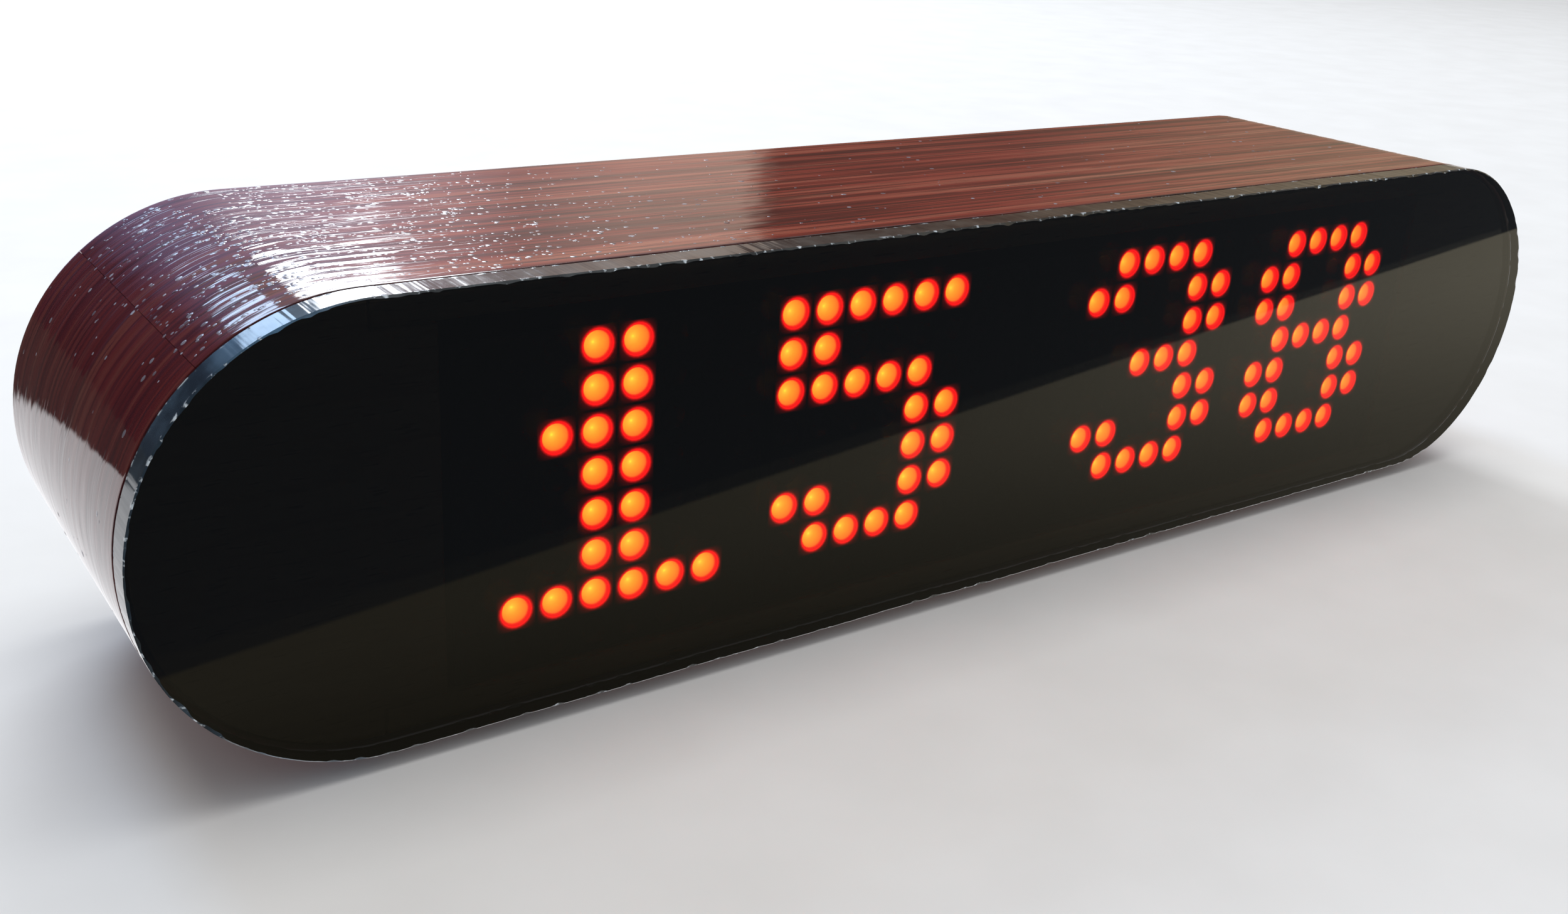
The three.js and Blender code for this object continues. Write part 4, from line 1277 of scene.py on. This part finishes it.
# %% Dot tree
def cups_on_points():
    tree, given, made = new_tree(
        "cups_on_points", Mouth_Radius="size", Floor_Radius="size", Depth="size", Wall="size",
        Finish="finish")
    sides = {"Vertices": 24, "Radius Top": given["Mouth_Radius"]}

    def without_top(cone):
        inputs = {"Geometry": cone.outputs["Mesh"], "Selection": cone.outputs["Top"]}
        return place(tree, "GeometryNodeDeleteGeometry", inputs, domain="FACE").outputs[0]

    def pushed_back(geometry, depth):
        back = place(tree, "ShaderNodeCombineXYZ", {"Z": maths(tree, "MULTIPLY", depth, -1.0)})
        inputs = {"Geometry": geometry, "Translation": back.outputs[0]}
        return place(tree, "GeometryNodeTransform", inputs).outputs[0]

    bowl = place(tree, "GeometryNodeMeshCone", {
        **sides, "Radius Bottom": given["Floor_Radius"], "Depth": given["Depth"],
        "Side Segments": 3, "Fill Segments": 2}, fill_type="TRIANGLE_FAN")
    facing_in = place(tree, "GeometryNodeFlipFaces", {"Mesh": without_top(bowl)}).outputs[0]
    at = place(tree, "GeometryNodeInputPosition").outputs[0]
    apart = place(tree, "ShaderNodeSeparateXYZ", {0: at}).outputs
    level = maths(tree, "DIVIDE", apart["Z"], given["Depth"])
    wall_glow = maths(tree, "MULTIPLY", maths(tree, "SUBTRACT", 1.0, level), 0.6)
    flat = place(tree, "ShaderNodeCombineXYZ", {"X": apart["X"], "Y": apart["Y"]}).outputs[0]
    reach = place(tree, "ShaderNodeVectorMath", {0: flat}, operation="LENGTH").outputs["Value"]
    share = maths(tree, "DIVIDE", reach, given["Floor_Radius"])
    near = maths(tree, "SUBTRACT", 1.0, share, clamp=True)
    glow = maths(tree, "ADD", wall_glow, maths(tree, "MULTIPLY", near, 0.4))
    glowing = keep_value(tree, facing_in, "glow", glow)
    shell = place(tree, "GeometryNodeMeshCone", {
        **sides, "Radius Bottom": given["Mouth_Radius"],
        "Depth": maths(tree, "ADD", given["Depth"], given["Wall"])}, fill_type="NGON")
    both = place(tree, "GeometryNodeJoinGeometry", {0: glowing}).outputs[0]
    tree.links.new(pushed_back(without_top(shell), given["Wall"]), both.node.inputs[0])
    closed = place(tree, "GeometryNodeMergeByDistance", {
        "Geometry": pushed_back(both, given["Depth"]), "Distance": 0.001 * MM}).outputs[0]
    shaded = place(tree, "GeometryNodeSetShadeSmooth", {"Geometry": closed, "Shade Smooth": True})
    spots = place(tree, "GeometryNodeInstanceOnPoints", {
        "Points": given["Geometry"], "Instance": shaded.outputs[0],
        "Rotation": (math.radians(90), 0, 0)})
    return end_tree(tree, spots.outputs[0], given["Finish"], made)


CUP_TREE = cups_on_points()
print(f"{CUP_TREE.name} has {len(CUP_TREE.nodes)} nodes")

# %% [markdown]
# The tree runs twice, once over the lit dots and once over the unlit ones, because the two have
# different finishes. The cups sit just under the face, and a hair of gap parts them from the
# wells, so that no two surfaces share a place.

# %% Dots
CUP_SIZES = {
    "Mouth_Radius": 1.46 * MM, "Floor_Radius": 0.75 * MM, "Depth": 0.95 * MM, "Wall": 0.3 * MM}
for name, wanted, slot in (("lit_dots", True, "led_light"), ("unlit_dots", False, "led_dark")):
    spots = []
    for module in DIGITS:
        face_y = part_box(module)[0].y + 0.02 * MM
        spots += [(x, face_y, z) for x, z, lit in module_cells(module) if lit == wanted]
    dots = grow(name, scatter(f"{name}_guide", spots), CUP_TREE, Finish=FINISHES[slot], **CUP_SIZES)
    fit(dots, CASE_BODY, slot)

# %% [markdown]
# Small turned parts that repeat, pins, screws and feet, are drawn once in mesh code and set in
# place by one more tree. It turns each copy about its own axis by a seeded random angle, because
# no two screws stop with their crosses level.

# %% Repeating tree
def copies_on_points():
    tree, given, made = new_tree(
        "copies_on_points", Part="object", Turn="size", Seed="count", Finish="finish")
    part = place(tree, "GeometryNodeObjectInfo", {"Object": given["Part"]})
    range_of_turn = {2: 0.0, 3: given["Turn"], "Seed": given["Seed"]}
    turn = place(tree, "FunctionNodeRandomValue", range_of_turn, data_type="FLOAT").outputs[1]
    about = place(tree, "ShaderNodeCombineXYZ", {"Y": turn}).outputs[0]
    spots = place(tree, "GeometryNodeInstanceOnPoints", {
        "Points": given["Geometry"], "Instance": part.outputs["Geometry"], "Rotation": about})
    return end_tree(tree, spots.outputs[0], given["Finish"], made)


COPY_TREE = copies_on_points()


def set_out(name, part_mesh, points, slot, turn=0.0, seed=1):
    """Copies of a part on points, as one plain piece."""
    part = new_piece(f"{name}_pattern", part_mesh)
    return grow(
        name, scatter(f"{name}_guide", points), COPY_TREE, [part],
        Part=part, Turn=turn, Seed=seed, Finish=FINISHES[slot])


print(f"{COPY_TREE.name} has {len(COPY_TREE.nodes)} nodes")

# %% [markdown]
# Two rows of eight square pins join each module to its board. They are cropped and slightly
# pointed by the lead cutter.

# %% Module pins
PIN_PITCH = 2.54 * MM
PIN_ROWS = (-12 * MM, 12 * MM)
PINS_PER_ROW = 8
PIN_LENGTH = 4 * MM
HALF_PIN = 0.25 * MM
SQUARE = ((1, 1), (-1, 1), (-1, -1), (1, -1))


def square_ring(half, y):
    return [Vector((x * half, y, z * half)) for x, z in SQUARE]


pin_profile = [(HALF_PIN, 0), (HALF_PIN, PIN_LENGTH * 0.9), (HALF_PIN * 0.6, PIN_LENGTH)]
pin_mesh = skin("pin", [square_ring(half, y) for half, y in pin_profile], flat_ends=True)
pin_points = []
for module in DIGITS:
    low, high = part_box(module)
    for row in PIN_ROWS:
        for i in range(PINS_PER_ROW):
            pin_x = (low.x + high.x) / 2 + (i - (PINS_PER_ROW - 1) / 2) * PIN_PITCH
            pin_points.append((pin_x, low.y + MODULE_DEPTH, (low.z + high.z) / 2 + row))
fit(set_out("module_pins", pin_mesh, pin_points, "nickel"), CASE_BODY, "nickel")

# %% [markdown]
# The screws. A pan head is turned with a low dome and an eased rim, the thread is a ridge whose
# radius follows the turn and the height, and the cross recess is cut by two tapered bars.

# %% Screw
SCREW_STEPS = 32
THREAD_PITCH = 0.8 * MM
THREAD_ROWS_PER_TURN = 8
DOME_STEPS = 6


def cut_out(mesh, cutter_meshes):
    """The mesh with the cutters taken away, by an exact boolean."""
    work = new_piece("work", mesh)
    for cutter_mesh in cutter_meshes:
        cutter = new_piece("cutter", cutter_mesh)
        modifier = work.modifiers.new("cut", "BOOLEAN")
        modifier.object = cutter
        modifier.solver = "EXACT"
        depsgraph = bpy.context.evaluated_depsgraph_get()
        result = bpy.data.meshes.new_from_object(work.evaluated_get(depsgraph))
        work.modifiers.remove(modifier)
        work.data = result
        bpy.data.objects.remove(cutter)
    bpy.data.objects.remove(work)
    smooth(result)
    return result


def tapered_bar(length, width, depth_y, top_y, turn):
    """A cross bar of the recess: wide at the top and narrower at the bottom."""
    rings = []
    for y, share in ((depth_y, 0.62), (top_y, 1.05)):
        flat = [Vector((a * length * share / 2, y, b * width * share / 2)) for a, b in SQUARE]
        rings.append([Matrix.Rotation(turn, 3, "Y") @ corner for corner in flat])
    return skin("bar", rings, flat_ends=True)


def screw_mesh(length, shank, head, height, tip):
    """A screw at the origin, its head towards +Y and its seat at y = 0."""
    rows = int(length / THREAD_PITCH * THREAD_ROWS_PER_TURN)
    rings = [[Vector((0, -length, 0))]]
    for row in range(rows):
        y = -length + (row + 0.5) * length / rows
        reach = min(1, (y + length) / tip)
        ring = []
        for i, point in enumerate(circle(1, 0, SCREW_STEPS)):
            phase = (y / THREAD_PITCH - i / SCREW_STEPS) % 1
            ridge = max(0, 1 - abs(phase - 0.5) * 3.2) if y < -THREAD_PITCH else 0
            radius = shank * reach * (0.78 + 0.22 * ridge)
            ring.append(Vector((point.x * radius, y, point.z * radius)))
        rings.append(ring)
    ease = head * 0.07
    profile = [(shank * 0.8, 0), (head - ease, 0), (head, ease), (head, height * 0.42)]
    for i in range(1, DOME_STEPS + 1):
        turn = math.radians(90 * i / DOME_STEPS)
        profile.append((head * math.cos(turn) * 0.96, height * (0.46 + 0.54 * math.sin(turn))))
    profile[-1] = (0, height)
    rings += [circle(radius, y, SCREW_STEPS) for radius, y in profile]
    bars = [tapered_bar(head * 1.15, head * 0.3, height * 0.25, height * 1.2, turn)
            for turn in (0, math.radians(90))]
    return cut_out(skin("screw", rings), bars)


def seat_of(node, head_height):
    """Where the head of a screw bears: its middle line, at the back of the head."""
    middle = centre_of(node)
    return (middle.x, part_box(node)[1].y - head_height, middle.z)


# %% [markdown]
# The three kinds of screw differ in size only: into the wood, into the nylon posts, and for the
# display board. Each row gives the names' endings, then the length, the radii of shank and head,
# the head's height and the tip's length in millimetres.

# %% Screws
SCREWS = {
    "cover": (range(1, 5), (11.5, 1.25, 2.6, 1.6, 3)),
    "board": (range(1, 5), (6.2, 1.3, 2.4, 1.5, 0.8)),
    "display": (("left", "right"), (9, 1.1, 1.9, 1.2, 2)),
}
for seed, (use, (places, sizes_mm)) in enumerate(SCREWS.items(), 1):
    replaced = [f"{use}_screw_{place_name}" for place_name in places]
    length, shank, head, head_height, tip = (size * MM for size in sizes_mm)
    seats = [seat_of(node, head_height) for node in replaced]
    screw = screw_mesh(length, shank, head, head_height, tip)
    screws = set_out(f"{use}_screws", screw, seats, "steel", turn=2 * math.pi, seed=seed)
    fit(screws, CASE_BODY, "steel", *replaced)

# %% [markdown]
# The feet are moulded rubber discs with a rounded lower rim and a shallow dish in the middle, so
# that they grip on their rims.

# %% Feet
FEET = [f"foot_{row}_{hand}" for row in ("front", "rear") for hand in ("left", "right")]


def foot_mesh():
    low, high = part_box(FEET[0])
    radius = (high.x - low.x) / 2
    height = high.z - low.z
    profile = [(0, 0.25 * MM), (radius * 0.55, 0.25 * MM)]
    profile += [(radius * 0.68, 0.05 * MM), (radius * 0.76, 0)]
    profile += fillet(0.45 * MM, radius - 0.5 * MM, 0.45 * MM, -90, 0)
    profile += [(radius, height * 0.8), (radius - 0.12 * MM, height), (0, height)]
    return laid("foot", profile, 56, lambda point: Vector((point.x, -point.z, point.y)))


foot_spots = [(centre_of(foot).x, centre_of(foot).y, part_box(foot)[0].z) for foot in FEET]
fit(set_out("rubber_feet", foot_mesh(), foot_spots, "rubber"), CASE_BODY, "rubber", *FEET)

# %% [markdown]
# Push buttons: a flanged cap with a dished top and eased rim, one for each switch. Each rides on
# its own body, so it can be pressed.

# %% Buttons
def button_mesh(node):
    low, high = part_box(node)
    middle = centre_of(node)
    flange = (high.x - low.x) / 2
    cap, stem = 2.9 * MM, 1.65 * MM
    inner_y, outer_y = cover_inner_y - 1.2 * MM, cover_inner_y - 0.2 * MM
    ease = 0.35 * MM
    dish, dish_depth = cap - 0.55 * MM, 0.28 * MM
    profile = [(0, low.y), (stem - 0.15 * MM, low.y), (stem, low.y + 0.15 * MM), (stem, inner_y)]
    profile += [(flange - 0.1 * MM, inner_y), (flange, inner_y + 0.1 * MM)]
    profile += [(flange, outer_y), (cap, outer_y), (cap, high.y - ease)]
    profile += fillet(ease, cap - ease, high.y - ease, 15, 90, 5)
    for share in (1, 0.8, 0.6, 0.4, 0.2):
        profile.append((dish * share, high.y - dish_depth * (1 - share ** 2)))
    profile.append((0, high.y - dish_depth))
    return turned(f"{node}_cap", profile, 56, middle.x, middle.z)


for use in ("set", "minus", "plus", "snooze"):
    cap = new_piece(f"{use}_button_cap", button_mesh(f"button_{use}"), [FINISHES["button_plastic"]])
    fit(cap, f"{use}_button", "button_plastic", f"button_{use}")

# %% [markdown]
# Cut and moulded parts never have knife edges. Where the CAD shape is right, a copy of it is
# merged, its flat faces are joined, and its edges are eased with a small bevel, as a file or a
# mould would leave them. Faces with more than four sides are the flat ones, so they are shaded
# flat, and the switch knob rides on its own body.

# %% Eased copies
def eased(node, name, width):
    """A copy of a CAD part with its sharp edges rounded."""
    shape = bmesh.new()
    shape.from_mesh(nodes[node].data)
    bmesh.ops.remove_doubles(shape, verts=shape.verts, dist=0.005 * MM)
    bmesh.ops.dissolve_limit(
        shape, angle_limit=math.radians(0.5), verts=shape.verts, edges=shape.edges,
        use_dissolve_boundaries=False)
    corner = math.radians(30)
    sharp = [edge for edge in shape.edges if edge.is_manifold and edge.calc_face_angle() > corner]
    bmesh.ops.bevel(
        shape, geom=sharp, offset=width, offset_type="OFFSET", segments=2, profile=0.5,
        affect="EDGES", clamp_overlap=True)
    mesh = keep_shape(name, shape)
    smooth(mesh, 28)
    mesh.polygons.foreach_set("use_smooth", [len(face.vertices) <= 4 for face in mesh.polygons])
    return new_piece(name, mesh, [FINISHES[slot_of[node]]])


EASED = {
    "rear_cover": ("cover_plate", 0.18 * MM, CASE_BODY),
    "core_board_top": ("core_strip_top", 0.25 * MM, CASE_BODY),
    "core_board_bottom": ("core_strip_bottom", 0.25 * MM, CASE_BODY),
    "end_block_left": ("core_end_left", 0.25 * MM, CASE_BODY),
    "end_block_right": ("core_end_right", 0.25 * MM, CASE_BODY),
    "inlet_barrel": ("inlet_socket", 0.15 * MM, CASE_BODY),
    "inlet_pin": ("inlet_contact", 0.08 * MM, CASE_BODY),
    "alarm_switch_knob": ("switch_knob", 0.12 * MM, "alarm_knob"),
}
for node, (name, width, body) in EASED.items():
    fit(eased(node, name, width), body, slot_of[node], node)

# %% [markdown]
# The inlet's nut is hexagonal, and a lathe has turned its corners down at thirty degrees. Its
# outline follows from the distance to a flat, and the chamfer from how far a corner stands
# outside the circle of the flats.

# %% Inlet nut
NUT_STEPS = 72
NUT_CHAMFER = math.tan(math.radians(30))


def nut_mesh():
    low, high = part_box("inlet_nut")
    middle = centre_of("inlet_nut")
    flat = 5.5 * MM
    bore = 4.15 * MM
    turned_radius = flat * 0.98

    def ring(radius_at, y_at):
        points = []
        for i in range(NUT_STEPS):
            turn = 2 * math.pi * i / NUT_STEPS
            to_corner = (turn + math.pi / 6) % (math.pi / 3) - math.pi / 6
            hexagon = flat / math.cos(to_corner)
            radius = radius_at(hexagon)
            spot = Vector((radius * math.cos(turn), 0, radius * math.sin(turn)))
            points.append(Vector((middle.x + spot.z, y_at(hexagon), middle.z + spot.x)))
        return points

    rings = [
        ring(lambda h: bore, lambda h: low.y),
        ring(lambda h: bore, lambda h: high.y - 0.25 * MM),
        ring(lambda h: bore + 0.25 * MM, lambda h: high.y),
        ring(lambda h: turned_radius, lambda h: high.y),
        ring(lambda h: h, lambda h: high.y - max(0, h - turned_radius) * NUT_CHAMFER),
        ring(lambda h: h, lambda h: low.y),
    ]
    return skin("nut", rings, looped=True)


nut = new_piece("socket_nut", nut_mesh(), [FINISHES["nickel"]])
fit(nut, CASE_BODY, "nickel", "inlet_nut")
